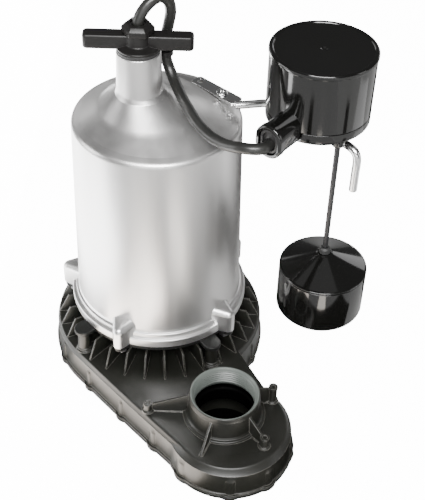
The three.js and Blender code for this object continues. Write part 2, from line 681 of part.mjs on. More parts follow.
function switchBase() {
  const { r, wall, low, parting } = SWITCH;
  const pan = turned([
    [0, low], [r - 3, low], [r - 0.8, low + 0.9], [r, low + 3], [r, parting - CLEARANCE],
    [r - wall, parting - CLEARANCE], [r - wall, low + 3.5], [0, low + 3.5],
  ], 28);
  const guide = at(rod(4.6, low - 5, parting + 1.2, 16), 0.8, -29.3);
  const saddle = box(44, 12, BRACKET.z - 4.6, low + 1)
    .rotateZ(radians(BRACKET.run))
    .translate(-2.6, 7.6, 0);
  const tunnel = new THREE.CylinderGeometry(BRACKET.r + 0.4, BRACKET.r + 0.4, 90, 16)
    .rotateZ(-Math.PI / 2)
    .rotateZ(radians(BRACKET.run))
    .translate(0, 0, BRACKET.z);
  const gland = glandGeometry(GLAND.width + 0.8, GLAND.height + 0.8, r - wall - 1.2, GLAND.face);
  const rodBore = at(rod(FLOAT_ROD.r + RUNNING_GAP * 3, low - 10, parting + 5, 16), 0.8, -29.3);
  return cut(join(pan, guide, saddle), tunnel, gland, rodBore);
}

const glandInsert = () =>
  cut(
    glandGeometry(GLAND.width - 5.2, GLAND.height - 5.2, GLAND.face - 11.6, GLAND.face - 2.4),
    glandBore(CORD_R + 0.3, 40, GLAND.face + 4),
  );

// The snap switch stands on the base inside the housing, and its pivot stub carries the lever.
function snapSwitch() {
  const body = box(9, 24, SWITCH.low + 3.8, 284).translate(10, 8, 0);
  const pivot = new THREE.CylinderGeometry(LEVER.pin, LEVER.pin, 10, 12)
    .rotateZ(Math.PI / 2)
    .translate(1.5, LEVER.pinY, LEVER.pinZ);
  return join(body, pivot);
}

function lever() {
  const arm = new THREE.BoxGeometry(LEVER.width, LEVER.arm, LEVER.thick).translate(0, -LEVER.arm / 2, 0);
  const eye = new THREE.CylinderGeometry(3, 3, LEVER.width, 16).rotateZ(Math.PI / 2);
  const bore = new THREE.CylinderGeometry(LEVER.pin + 0.15, LEVER.pin + 0.15, 20, 12).rotateZ(Math.PI / 2);
  return cut(join(arm, eye), bore).rotateX(radians(-LEVER.drop));
}

const switchGroup = new THREE.Group();
switchGroup.position.set(SWITCH.x, SWITCH.y, 0);
pump.add(switchGroup);
switchGroup.add(
  piece("switch_body", switchBody(), M.switchPlastic),
  piece("switch_base", switchBase(), M.switchPlastic),
  piece("gland_insert", glandInsert(), M.rubber),
  piece("snap_switch", snapSwitch(), M.handlePlastic),
);
const switchLever = piece("switch_lever", lever(), M.brass);
switchLever.position.set(0.8, LEVER.pinY, LEVER.pinZ);
switchGroup.add(switchLever);

// ---------------------------------------------------------------- float

function floatShell() {
  const { r, low, rim, wall } = FLOAT;
  return turned([
    [0, low + 0.8], [14, low], [r - 4.4, low], [r - 1.6, low + 1.2], [r, low + 4], [r, rim],
    [r - wall, rim], [r - wall, low + 4.6], [r - 5, low + wall], [0, low + wall + 0.8],
  ], 28);
}

function floatCap() {
  const { r, rim, tip, wall } = FLOAT;
  const low = rim + 0.2;
  return turned([
    [FLOAT_ROD.r + 0.1, tip - wall - 2], [r - wall - 2, low + 0.3], [r - wall - 2, low], [r, low],
    [r, low + 1.2], [r - 1, low + 2.2], [5.4, tip], [FLOAT_ROD.r + 0.1, tip],
    [FLOAT_ROD.r + 0.1, tip - wall - 2],
  ], 28);
}

const floatGroup = new THREE.Group();
floatGroup.position.set(FLOAT.x, FLOAT.y, 0);
pump.add(floatGroup);
floatGroup.add(
  piece("float_shell", floatShell(), M.switchPlastic),
  piece("float_cap", floatCap(), M.switchPlastic),
  piece("float_collar", ring(FLOAT_ROD.r + 0.1, 4.6, FLOAT.tip + 0.2, FLOAT.tip + 5, 16), M.rubber),
  piece("float_rod", rod(FLOAT_ROD.r, FLOAT_ROD.low, FLOAT_ROD.high, 16), M.darkSteel),
  piece("rod_stop", ring(FLOAT_ROD.r + 0.1, 4.5, SWITCH.parting + 1.6, FLOAT_ROD.high, 16), M.brass),
);

export default pump;
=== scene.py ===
import json
from math import acos, atan2, cos, hypot, pi, radians, sin, tan
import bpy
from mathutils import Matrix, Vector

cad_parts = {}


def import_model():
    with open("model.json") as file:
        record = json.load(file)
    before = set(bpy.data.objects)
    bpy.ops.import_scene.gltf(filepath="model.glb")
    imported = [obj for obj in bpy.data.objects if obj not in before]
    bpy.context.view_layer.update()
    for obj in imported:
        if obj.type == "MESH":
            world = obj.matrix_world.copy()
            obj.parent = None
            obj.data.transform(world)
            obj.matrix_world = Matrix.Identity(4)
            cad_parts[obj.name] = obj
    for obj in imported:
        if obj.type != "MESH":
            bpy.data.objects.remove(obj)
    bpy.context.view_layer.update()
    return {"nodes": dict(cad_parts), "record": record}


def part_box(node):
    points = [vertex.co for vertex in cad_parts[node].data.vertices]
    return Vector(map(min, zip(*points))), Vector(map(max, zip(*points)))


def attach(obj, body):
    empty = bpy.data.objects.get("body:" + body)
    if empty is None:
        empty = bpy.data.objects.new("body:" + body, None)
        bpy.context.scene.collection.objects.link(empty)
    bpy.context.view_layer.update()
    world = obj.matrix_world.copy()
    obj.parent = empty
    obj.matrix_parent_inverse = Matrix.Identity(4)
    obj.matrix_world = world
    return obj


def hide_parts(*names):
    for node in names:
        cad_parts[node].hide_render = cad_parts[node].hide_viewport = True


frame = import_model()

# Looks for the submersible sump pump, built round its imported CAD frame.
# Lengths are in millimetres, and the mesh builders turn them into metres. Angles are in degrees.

from types import SimpleNamespace

import bmesh
import bpy
from mathutils import Matrix, Quaternion, Vector
from mathutils.geometry import intersect_point_line

MM = 0.001
BEVEL_FROM = 35.0  # softened() rounds the edges that turn by more than this
SHARP_FROM = 32.0  # shading stays sharp across edges that turn by more than this


# -------- sizes read from the frame


def spot(node):
    """Axis, radius (half the width in x), lowest and highest point of a CAD node, in millimetres."""
    low, high = (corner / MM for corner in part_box(node))
    middle = (low + high) / 2
    return SimpleNamespace(x=middle.x, y=middle.y, r=(high.x - low.x) / 2, low=low.z, high=high.z)


NECK = spot("handle_seal")
CORD_NUT = spot("cord_nut")
PLATE = spot("bottom_plate")
SEAL_PLATE = spot("seal_plate")
SWITCH_BASE = spot("switch_base")
FLOAT = spot("float_shell")
FLOAT_CAP = spot("float_cap")
FLOAT_COLLAR = spot("float_collar")
FLOAT_ROD = spot("float_rod")
BOLTS = [spot(f"lug_bolt_{k}") for k in range(1, 6)]
PLATE_SCREWS = [spot(f"plate_screw_{k}") for k in range(1, 14)]
PILLAR_SCREWS = [spot(f"pillar_screw_{k}") for k in range(1, 5)]
BRACKET_SCREW = spot("bracket_screw")

# -------- driving dimensions

# Volute base
DECK = 30.0
DECK_SKIN = 4.0
WALL = 3.5
ROUND_R = 85.4  # the round part under the motor
ARM_RIGHT = 39.0  # x where the right side of the arm to the drum leaves the round part
DRUM = SimpleNamespace(x=-0.3, y=-140.2, r=43.8)
CREASE = 25.4  # where the deck's sloping edge meets the wall
LIP_LOW, LIP_HIGH = 4.2, 5.7
INLET_R = 24.0
FIN = SimpleNamespace(count=32, first=-87.2, thick=1.5, inner=60.0, outer=84.6, top=47.6, top_outer=76.5)
PILLAR = SimpleNamespace(r=5.25, top=48.7)
PORT = SimpleNamespace(x=0.0, y=-129.3, r=27.0, collar=31.8, rim=52.6, socket=24.1, ledge=22.4, floor=32.0)
WEB_THICK = 1.9
THREAD = SimpleNamespace(pitch=2.21, depth=1.05, low=36.5, high=50.6)
POSTS = [(-52.9, -103.3, 38.0), (39.9, -133.4, 46.0), (13.7, -170.9, 40.0)]  # x, y and top
POST_R = 3.3
DECK_RIB_END = (-34.0, -160.4)  # where the fourth web runs out, at the deck's edge
PLATE_HOLE = SimpleNamespace(r=2.2, head=4.6, head_depth=1.9)
# How far each level stands out of the deck's outline, round the motor and round the drum
SIDES = {"lip": (3.2, 6.0), "plate": (2.8, 5.6), "wall_foot": (1.6, 4.8), "wall": (1.2, 4.0),
         "crease": (0.8, 3.2)}
SCALLOP = 1.7  # how far the lip swells round a screw, and how far a boss stands out of the wall

# Motor housing
FLANGE = SimpleNamespace(r=72.0, low=53.0, high=60.6)
BODY = SimpleNamespace(low=66.6, high=63.4, shoulder=219.0)
CONE = SimpleNamespace(r=57.0, z=227.6)
NECK_FOOT = 253.0
NECK_TOP = 284.0
LUG = SimpleNamespace(count=5, first=-137.4, root=60.0, nose=75.5, round=5.0, flank=65.0, edge=4.6,
                      top=73.0, rise=1.6)
LUG_TURNS = [LUG.first + 360 * k / LUG.count for k in range(LUG.count)]
LUG_BOLT = SimpleNamespace(r=2.2, hole=2.7, head=4.2, washer=4.9, low=44.2, seat=47.8, top=65.5)
SHELF = SimpleNamespace(angle=21.6, distance=39.3, z=230.6)
SEAL = SimpleNamespace(r=71.0, bore=26.0, top=52.7, spigot=60.4, tongue=7.2)

# Handle and cord
BAR = SimpleNamespace(length=77.0, depth=11.0, low=286.7, high=297.6, turn=-26.0)
CORD_R = 4.0
CORD_PLAY = 0.35
NUT = SimpleNamespace(r=11.8, bevel=3.0, stub=7.4, stub_low=276.0, recess=5.8, recess_low=300.6)
TIE = SimpleNamespace(x=8.5, y=3.8, low=272.6, high=276.8)

# Float switch
SWITCH = SimpleNamespace(x=SWITCH_BASE.x, y=SWITCH_BASE.y, r=SWITCH_BASE.r, low=240.0, parting=250.0,
                         high=297.0, wall=2.5)
GLAND = SimpleNamespace(turn=206.7, width=20.0, height=24.0, z=251.0, face=61.0, cord_z=248.0)
BRACKET = SimpleNamespace(r=3.0, z=231.5, run=-71.0, drop=39.6, hook_end=197.0, tab=(45.6, -16.8),
                          hole=(42.7, 16.3))
TAB_LOW, TAB_THICK = SHELF.z + 1.2, 2.8


def polar(r, degrees, x=0.0, y=0.0):
    return (x + r * cos(radians(degrees)), y + r * sin(radians(degrees)))


# -------- mesh builders


def solid(points, faces):
    """A new object from points in millimetres."""
    mesh = bpy.data.meshes.new("piece")
    mesh.from_pydata([Vector(p) * MM for p in points], [], faces)
    mesh.update()
    made = bpy.data.objects.new("piece", mesh)
    bpy.context.scene.collection.objects.link(made)
    return made


def rounded(corners, closed=False, steps=6):
    """A polyline whose corners [a, b, radius] are replaced by arcs of that radius."""
    line = []
    for i, corner in enumerate(corners):
        here = Vector(corner[:2])
        radius = corner[2] if len(corner) > 2 else 0
        if not radius or (not closed and i in (0, len(corners) - 1)):
            line.append(tuple(here))
            continue
        back = Vector(corners[i - 1][:2]) - here
        ahead = Vector(corners[(i + 1) % len(corners)][:2]) - here
        half = back.angle(ahead) / 2
        reach = min(radius / tan(half), 0.48 * back.length, 0.48 * ahead.length)
        middle = here + (back.normalized() + ahead.normalized()).normalized() * (reach / cos(half))
        start = here + back.normalized() * reach - middle
        end = here + ahead.normalized() * reach - middle
        sweep = start.angle_signed(end)
        for k in range(steps + 1):
            line.append(tuple(middle + Matrix.Rotation(-sweep * k / steps, 2) @ start))
    return line


def turned(profile, x=0.0, y=0.0, sides=128, wave=None):
    """Revolves [radius, height, rounding] corners, from axis to axis or as a closed ring.
    The wave function of radius, height and share of a turn moves a point outwards, and cuts threads."""
    closed = profile[0][0] > 0
    line = rounded(profile, closed)
    points, rings = [], []
    for r, z in line:
        if r < 1e-6:
            rings.append([len(points)] * sides)
            points.append((x, y, z))
            continue
        rings.append(range(len(points), len(points) + sides))
        for k in range(sides):
            grown = r + (wave(r, z, k / sides) if wave else 0)
            points.append((*polar(grown, 360 * k / sides, x, y), z))
    faces = []
    pairs = list(zip(rings, rings[1:])) + ([(rings[-1], rings[0])] if closed else [])
    for low, high in pairs:
        for k in range(sides):
            after = (k + 1) % sides
            face = [low[k], low[after], high[after], high[k]]
            face = [p for i, p in enumerate(face) if p not in face[:i]]
            if len(face) > 2:
                faces.append(face)
    return solid(points, faces)


def loft(levels):
    """A closed skin through (outline, height) levels that have equal point counts."""
    count = len(levels[0][0])
    points = [(x, y, z) for outline, z in levels for x, y in outline]
    faces = [list(range(count))[::-1]]
    for level in range(len(levels) - 1):
        start = level * count
        for k in range(count):
            after = (k + 1) % count
            faces.append([start + k, start + after, start + count + after, start + count + k])
    top = (len(levels) - 1) * count
    faces.append(list(range(top, top + count)))
    return solid(points, faces)


def inset(outline, amount):
    """The outline moved inwards; it runs counter-clockwise."""
    moved = []
    for i, point in enumerate(outline):
        before, after = Vector(outline[i - 1]), Vector(outline[(i + 1) % len(outline)])
        here = Vector(point)
        a, b = (here - before).normalized(), (after - here).normalized()
        inwards = Vector((-a.y - b.y, a.x + b.x)).normalized()
        mitre = max(0.5, inwards.dot(Vector((-a.y, a.x))))
        moved.append(tuple(here + inwards * (amount / mitre)))
    return moved


def slab(outline, low, high, round_low=0.0, round_high=0.0, steps=4):
    """An outline extruded between two heights, with its rims rounded."""
    levels = []
    if round_low:
        for k in range(steps):
            angle = radians(90) * k / steps
            shrunk = inset(outline, round_low * (1 - sin(angle)))
            levels.append((shrunk, low + round_low * (1 - cos(angle))))
    levels.append((outline, low + round_low))
    levels.append((outline, high - round_high))
    if round_high:
        for k in range(1, steps + 1):
            angle = radians(90) * k / steps
            shrunk = inset(outline, round_high * (1 - cos(angle)))
            levels.append((shrunk, high - round_high * (1 - sin(angle))))
    return loft(levels)


def rounded_rectangle(width, height, radius, steps=6):
    x, y = width / 2, height / 2
    return rounded([(x, y, radius), (-x, y, radius), (-x, -y, radius), (x, -y, radius)], True, steps)


def circle(r, sides=64):
    return [polar(r, 360 * k / sides) for k in range(sides)]


def smooth_path(knots, per_knot=10):
    """Points along a Catmull-Rom curve through the knots."""
    knots = [Vector(k) for k in knots]
    knots = [2 * knots[0] - knots[1], *knots, 2 * knots[-1] - knots[-2]]
    path = []
    for i in range(1, len(knots) - 2):
        a, b, c, d = knots[i - 1:i + 3]
        for k in range(per_knot):
            t = k / per_knot
            path.append(0.5 * (2 * b + (c - a) * t + (2 * a - 5 * b + 4 * c - d) * t**2
                               + (3 * b - a - 3 * c + d) * t**3))
    return [*path, knots[-2]]


def swept(path, r, sides=28, cap=0.6):
    """A round rod along a path, with its ends rounded by cap."""
    inner = [p for p in path if min((p - path[0]).length, (p - path[-1]).length) > 1.5 * cap]
    path = [path[0], *inner, path[-1]]
    count = len(path)
    tangents = [(path[min(i + 1, count - 1)] - path[max(i - 1, 0)]).normalized() for i in range(count)]
    side = tangents[0].orthogonal().normalized()
    stations = []
    for i in range(count):
        if i:
            side = (tangents[i - 1].rotation_difference(tangents[i]) @ side).normalized()
        stations.append((path[i], tangents[i], side.copy(), r))
    rim = [(cap * (1 - cos(a)), cap * (1 - sin(a))) for a in (0.0, radians(35), radians(65), radians(90))]
    head = [(path[0] + tangents[0] * along, tangents[0], stations[0][2], r - less)
            for along, less in rim]
    tail = [(path[-1] - tangents[-1] * along, tangents[-1], stations[-1][2], r - less)
            for along, less in reversed(rim)]
    stations = head + stations[1:-1] + tail
    points = []
    for centre, tangent, across, radius in stations:
        up = tangent.cross(across)
        for k in range(sides):
            a = 2 * pi * k / sides
            points.append(centre + (across * cos(a) + up * sin(a)) * radius)
    faces = [list(range(sides))[::-1]]
    for s in range(len(stations) - 1):
        for k in range(sides):
            after = (k + 1) % sides
            faces.append([s * sides + k, s * sides + after, (s + 1) * sides + after, (s + 1) * sides + k])
    last = (len(stations) - 1) * sides
    faces.append(list(range(last, last + sides)))
    return solid(points, faces)


def moved(obj, x=0.0, y=0.0, z=0.0, turn=0.0, tilt=None):
    """Tilts, turns about Z and then moves the object's mesh."""
    matrix = Matrix.Translation(Vector((x, y, z)) * MM) @ Matrix.Rotation(radians(turn), 4, "Z")
    if tilt is not None:
        matrix = matrix @ tilt
    obj.data.transform(matrix)
    obj.data.update()
    return obj


SIDEWAYS = Matrix(((0, 0, 1, 0), (1, 0, 0, 0), (0, 1, 0, 0), (0, 0, 0, 1)))  # local Z to X, local Y to Z


def combined(operation, body, *tools):
    """The body after a boolean with each tool, which is used up."""
    for tool in tools:
        modifier = body.modifiers.new("boolean", "BOOLEAN")
        modifier.operation = operation
        modifier.solver = "EXACT"
        modifier.object = tool
        graph = bpy.context.evaluated_depsgraph_get()
        mesh = bpy.data.meshes.new_from_object(body.evaluated_get(graph))
        body.modifiers.clear()
        body.data = mesh
        bpy.data.objects.remove(tool)
    return body


def join(body, *tools):
    return combined("UNION", body, *tools)


def cut(body, *tools):
    return combined("DIFFERENCE", body, *tools)


def gathered(objects):
    """Separate solids as one object, for use as one tool or one piece."""
    first = objects[0]
    mesh = bmesh.new()
    for obj in objects:
        mesh.from_mesh(obj.data)
    mesh.to_mesh(first.data)
    mesh.free()
    for obj in objects[1:]:
        bpy.data.objects.remove(obj)
    return first


def softened(obj, width, segments=2):
    """Rounds the object's sharp edges."""
    mesh = bmesh.new()
    mesh.from_mesh(obj.data)
    sharp = [e for e in mesh.edges
             if len(e.link_faces) == 2 and e.calc_face_angle() > radians(BEVEL_FROM)]
    bmesh.ops.bevel(mesh, geom=sharp, offset=width * MM, segments=segments, profile=0.5,
                    affect="EDGES", clamp_overlap=True)
    mesh.to_mesh(obj.data)
    mesh.free()
    return obj


def prism(corners, low, high):
    return loft([(corners, low), (corners, high)])


def cylinder(r, low, high, x=0.0, y=0.0, sides=48):
    return turned([(0, low), (r, low), (r, high), (0, high)], x, y, sides)


def upright_plate(corners, thick, turn, x=0.0, y=0.0, soft=0.3):
    """A thin plate standing on edge: corners are (distance, height), and turn is its direction."""
    plate = prism(corners, -thick / 2, thick / 2)
    standing = Matrix.Rotation(radians(90), 4, "X")
    return moved(softened(plate, soft), x, y, turn=turn, tilt=standing)


# -------- materials


class Nodes:
    """Short spellings for building a node material."""

    def __init__(self, name):
        self.material = bpy.data.materials.new(name)
        self.material.use_nodes = True
        self.tree = self.material.node_tree
        self.shader = self.tree.nodes["Principled BSDF"]
        self.place = self.add("ShaderNodeTexCoord").outputs["Object"]

    def add(self, kind, inputs=None, **settings):
        node = self.tree.nodes.new(kind)
        for key, value in settings.items():
            setattr(node, key, value)
        for key, value in (inputs or {}).items():
            if isinstance(value, bpy.types.NodeSocket):
                self.tree.links.new(value, node.inputs[key])
            else:
                node.inputs[key].default_value = value
        return node

    def noise(self, scale, detail, stretch=None):
        place = self.place
        if stretch:
            mapping = self.add("ShaderNodeMapping", {"Vector": self.place, "Scale": stretch})
            place = mapping.outputs["Vector"]
        inputs = {"Vector": place, "Scale": scale, "Detail": detail, "Roughness": 0.55}
        return self.add("ShaderNodeTexNoise", inputs).outputs["Fac"]

    def ranged(self, value, low, high, from_low=0.3, from_high=0.7):
        """The value carried over from its own range to the range from low to high."""
        inputs = {"Value": value, "From Min": from_low, "From Max": from_high,
                  "To Min": low, "To Max": high}
        return self.add("ShaderNodeMapRange", inputs).outputs["Result"]

    def multiplied(self, a, b):
        return self.add("ShaderNodeMath", {0: a, 1: b}, operation="MULTIPLY").outputs[0]

    def mixed(self, factor, a, b):
        """Color a where the factor is 0, and color b where it is 1."""
        a, b = (c if isinstance(c, bpy.types.NodeSocket) else (*c, 1.0) for c in (a, b))
        return self.add("ShaderNodeMix", {0: factor, 6: a, 7: b}, data_type="RGBA").outputs[2]

    def edges(self, radius, strength):
        """A mask that rises from 0 to the strength along convex and concave edges."""
        bevel = self.add("ShaderNodeBevel", {"Radius": radius * MM}, samples=4).outputs["Normal"]
        flat = self.add("ShaderNodeNewGeometry").outputs["Normal"]
        dot = self.add("ShaderNodeVectorMath", {0: bevel, 1: flat}, operation="DOT_PRODUCT")
        return self.ranged(dot.outputs["Value"], strength, 0.0, 0.8, 1.0)

    def bump(self, height, distance, normal):
        inputs = {"Height": height, "Strength": 0.5, "Distance": distance * MM, "Normal": normal}
        return self.add("ShaderNodeBump", inputs).outputs["Normal"]

    def wire(self, **inputs):
        for key, value in inputs.items():
            socket = self.shader.inputs[key.replace("_", " ")]
            if isinstance(value, bpy.types.NodeSocket):
                self.tree.links.new(value, socket)
            else:
                socket.default_value = value


def tint(color, amount):
    return tuple(min(1.0, c * amount) for c in color)


def inside_port(n, at_low, at_high):
    """A mask inside the port's socket: one value under the threads, and another on them."""
    apart = n.add("ShaderNodeSeparateXYZ", {"Vector": n.place}).outputs
    across = n.add("ShaderNodeCombineXYZ", {"X": apart["X"], "Y": apart["Y"]}).outputs["Vector"]
    axis = (PORT.x * MM, PORT.y * MM, 0)
    distance = n.add("ShaderNodeVectorMath", {0: across, 1: axis}, operation="DISTANCE")
    wall = (PORT.socket + 2.0) * MM
    near = n.ranged(distance.outputs["Value"], 1.0, 0.0, wall, wall + 0.6 * MM)
    level = n.ranged(apart["Z"], at_low, at_high, (THREAD.low - 1.0) * MM, THREAD.low * MM)
    return n.multiplied(near, level)


def finish(name, color, roughness, metallic=0.0, grain=1800.0, grain_depth=0.02, blotch=35.0, contrast=0.12,
           soft_edge=0.4, wear_and_painted_highlight=0.0, wear_and_painted_highlight_color=(0.5, 0.5, 0.5), specular=0.5, stretch=None,
           painted_thread_sheen=None):
    """A moulded, cast or machined surface: uneven colour and gloss, fine grain, softened edges, and edges
    painted lighter as wear and painted highlight.
    With a thread sheen colour, the port's socket has threads painted lighter as a painted reflection, and
    the well under them painted near-black as painted shade."""
    n = Nodes(name)
    blotches = n.noise(blotch, 5.0, stretch=stretch)
    fine = n.noise(grain, 3.0, stretch=stretch)
    shade = n.mixed(blotches, tint(color, 1 - contrast), tint(color, 1 + contrast))
    # Convex and concave edges are painted lighter, broken by noise: a painted highlight along the rims,
    # with some wear
    if wear_and_painted_highlight:
        mask = n.edges(0.9, wear_and_painted_highlight)
        broken = n.ranged(n.noise(260.0, 6.0), 0.2, 1.0)
        shade = n.mixed(n.multiplied(mask, broken), shade, wear_and_painted_highlight_color)
    # Painted reflection on the threads, and painted shade in the well under them: near-black, without
    # specular
    if painted_thread_sheen:
        painted_well_shade = inside_port(n, 1.0, 0.0)
        shade = n.mixed(inside_port(n, 0.0, 1.0), shade, painted_thread_sheen)
        shade = n.mixed(painted_well_shade, shade, (0.002, 0.002, 0.002))
        specular = n.ranged(painted_well_shade, specular, 0.02, 0.0, 1.0)
    normal = n.add("ShaderNodeBevel", {"Radius": soft_edge * MM}, samples=6).outputs["Normal"]
    normal = n.bump(fine, grain_depth, normal)
    gloss = n.ranged(blotches, roughness * 0.86, roughness * 1.16)
    n.wire(Base_Color=shade, Roughness=gloss, Metallic=metallic, Normal=normal, Specular_IOR_Level=specular)
    return n.material


FINISH = {
    # The housing's edges are painted near white as a painted highlight
    "die_cast_housing": finish("cast_silver", (0.66, 0.652, 0.645), 0.35, 0.92, grain=1500,
                               grain_depth=0.03, blotch=60, contrast=0.05, wear_and_painted_highlight=0.5,
                               wear_and_painted_highlight_color=(0.92, 0.92, 0.92), stretch=(1, 1, 0.06)),
    # The seal plate is painted near-black as painted shade under the flange
    "cast_plate": finish("painted_shade_plate", (0.010, 0.0105, 0.0095), 0.45, grain=1200, grain_depth=0.05,
                         contrast=0.2, specular=0.3),
    # The base's edges are painted lighter as a painted highlight
    "base_plastic": finish("base_black", (0.014, 0.0142, 0.011), 0.38, grain=2400, grain_depth=0.012,
                           contrast=0.2, wear_and_painted_highlight=1.0, wear_and_painted_highlight_color=(0.30, 0.29, 0.26), specular=0.42,
                           # the port's threads get a painted reflection, and the well under them painted
                           # shade
                           painted_thread_sheen=(0.15, 0.17, 0.155)),
    "gloss_black_plastic": finish("gloss_black", (0.006, 0.006, 0.0055), 0.09, grain=900, grain_depth=0.004,
                                  contrast=0.15, specular=0.6),
    "handle_plastic": finish("handle_charcoal", (0.013, 0.012, 0.0115), 0.36, grain=2200, grain_depth=0.03,
                             contrast=0.15, wear_and_painted_highlight=0.3, wear_and_painted_highlight_color=(0.10, 0.095, 0.09), specular=0.3),
    "cord_jacket": finish("cord_charcoal", (0.024, 0.024, 0.022), 0.34, grain=1600, grain_depth=0.03,
                          contrast=0.18, soft_edge=0.2),
    "black_rubber": finish("rubber", (0.022, 0.022, 0.022), 0.55, grain=1400, grain_depth=0.04,
                           contrast=0.2),
    "dark_steel": finish("dark_steel", (0.045, 0.045, 0.047), 0.32, 0.6, grain=1500, grain_depth=0.015,
                         contrast=0.12, soft_edge=0.25),
    "steel": finish("zinc_steel", (0.52, 0.52, 0.53), 0.30, 1.0, grain=1500, grain_depth=0.015,
                    contrast=0.12, soft_edge=0.25),
    "polished_steel": finish("polished_steel", (0.80, 0.80, 0.80), 0.19, 1.0, grain=1500,
                             grain_depth=0.006, contrast=0.05, soft_edge=0.25),
    "laminations": finish("laminations", (0.30, 0.31, 0.33), 0.45, 0.9, grain=900, grain_depth=0.05,
                          stretch=(1, 1, 12)),
    "copper_winding": finish("copper", (0.55, 0.22, 0.08), 0.35, 0.9, grain=700, grain_depth=0.08,
                             stretch=(1, 1, 6)),
    "brass": finish("brass", (0.65, 0.48, 0.20), 0.3, 1.0, grain=1200, grain_depth=0.01),
    "ceramic": finish("ceramic", (0.80, 0.77, 0.70), 0.25, grain=1200, grain_depth=0.005, contrast=0.04),
}

for part in frame["record"]["subparts"]:
    node = frame["nodes"][part["node"]]
    node.data.materials.clear()
    node.data.materials.append(FINISH[part["material_slot"]])


def piece(obj, name, body, slot, *nodes):
    """Names and shades the object, and makes it stand for CAD nodes of a body."""
    obj.name = obj.data.name = name
    obj.data.materials.clear()
    obj.data.materials.append(FINISH[slot])
    for face in obj.data.polygons:
        face.use_smooth = True
        face.material_index = 0
    obj.data.set_sharp_from_angle(angle=radians(SHARP_FROM))
    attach(obj, body)
    if nodes:
        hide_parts(*nodes)
    return obj


# -------- volute base


def base_outline(grow, drum_grow):
    """The base in plan, grown by one amount round the motor and by another round the drum. Between them
    the right side is straight, and the left side is a curve that leaves the round part smoothly."""
    round_r, drum = ROUND_R + grow, DRUM.r + drum_grow
    right = -acos((ARM_RIGHT + grow) / round_r)
    left = radians(196)
    left_join = radians(200.25) - acos((DRUM.r - 0.9 + grow) / drum)
    right_join = 2 * pi + acos(min(1.0, (DRUM.r - 3 + grow) / drum))

    def arc(x, y, r, start, end, steps):
        angles = [start + (end - start) * k / steps for k in range(steps + 1)]
        return [Vector((x + r * cos(a), y + r * sin(a))) for a in angles]

    body = arc(0, 0, round_r, right, left, 110)
    end = arc(DRUM.x, DRUM.y, drum, left_join, right_join, 72)
    pull = body[-1] + Vector((-sin(left), cos(left))) * 64
    steps = 24
    side = []
    for k in range(1, steps):
        t = k / steps
        side.append(body[-1] * (1 - t) ** 2 + pull * 2 * t * (1 - t) + end[0] * t**2)
    return [tuple(p) for p in body + side + end]


def side(level, grow=0.0):
    around, drum = SIDES[level]
    return base_outline(around + grow, drum + grow)


def way_to(level, screw):
    """The shortest way in plan from a plate screw to the wall or to the lip."""
    here = Vector((screw.x, screw.y))
    edge = [Vector(p) for p in side(level)]
    ways = []
    for a, b in zip(edge, edge[1:]):
        near, share = intersect_point_line(here, a, b)
        ways.append(a + (b - a) * min(1.0, max(0.0, share)) - here)
    return min(ways, key=lambda way: way.length)


def boss(screw):
    """A pilaster on the wall, round the hole of a plate screw."""
    r = way_to("wall", screw).length + SCALLOP
    profile = [(0, LIP_LOW), (r + 0.2, LIP_LOW), (r - 0.3, CREASE - 6, 3.0), (r - 2.6, CREASE - 0.6, 0.5),
               (0, CREASE - 0.2)]
    return turned(profile, screw.x, screw.y, 48)


def lobe(screw, level, low, high, round_low, round_high):
    """A gentle swelling of the lip or the plate round a plate screw."""
    way = way_to(level, screw)
    centre = Vector((screw.x, screw.y)) - way.normalized() * 3.0
    r = way.length + 3.0 + SCALLOP
    return moved(slab(circle(r, 64), low, high, round_low, round_high), centre.x, centre.y)


def base_shell():
    """The lip, the wall, the sloping edge above its crease and the deck, hollow underneath."""
    inside = base_outline(-WALL, -WALL)
    outer = loft([
        (side("lip", -0.4), LIP_LOW), (side("lip"), LIP_LOW + 0.4), (side("lip"), LIP_HIGH - 0.5),
        (side("lip", -0.2), LIP_HIGH - 0.15), (side("lip", -0.6), LIP_HIGH),
        (side("wall_foot", 0.4), LIP_HIGH + 0.1), (side("wall_foot"), LIP_HIGH + 0.6),
        (side("wall"), CREASE - 0.5), (side("crease"), CREASE),
        (base_outline(0.15, 0.8), DECK - 1.4), (base_outline(-0.15, 0.15), DECK - 0.6),
        (base_outline(-0.6, -0.4), DECK - 0.15), (base_outline(-1.2, -1.1), DECK)])
    shell = cut(outer, slab(inside, -5, DECK - DECK_SKIN))
    lobes = []
    for screw in PLATE_SCREWS:
        swelling = lobe(screw, "lip", LIP_LOW, LIP_HIGH, 0.4, 0.5)
        lobes.append(cut(swelling, prism(inside, 0, 20)))
    return join(shell, gathered(lobes), gathered([boss(s) for s in PLATE_SCREWS]))


def thread_wave(r, z, turn):
    """How far a thread's crest stands in from the socket's wall at a height and share of a turn."""
    if not (THREAD.low <= z <= THREAD.high and r < PORT.socket + 1):
        return 0.0
    phase = ((z / THREAD.pitch) - turn) % 1.0
    crest = 1 - abs(2 * phase - 1)
    fade = min(1.0, (z - THREAD.low) / 2.5, (THREAD.high - z) / 1.2)
    return -THREAD.depth * fade * min(1.0, crest * 1.35)


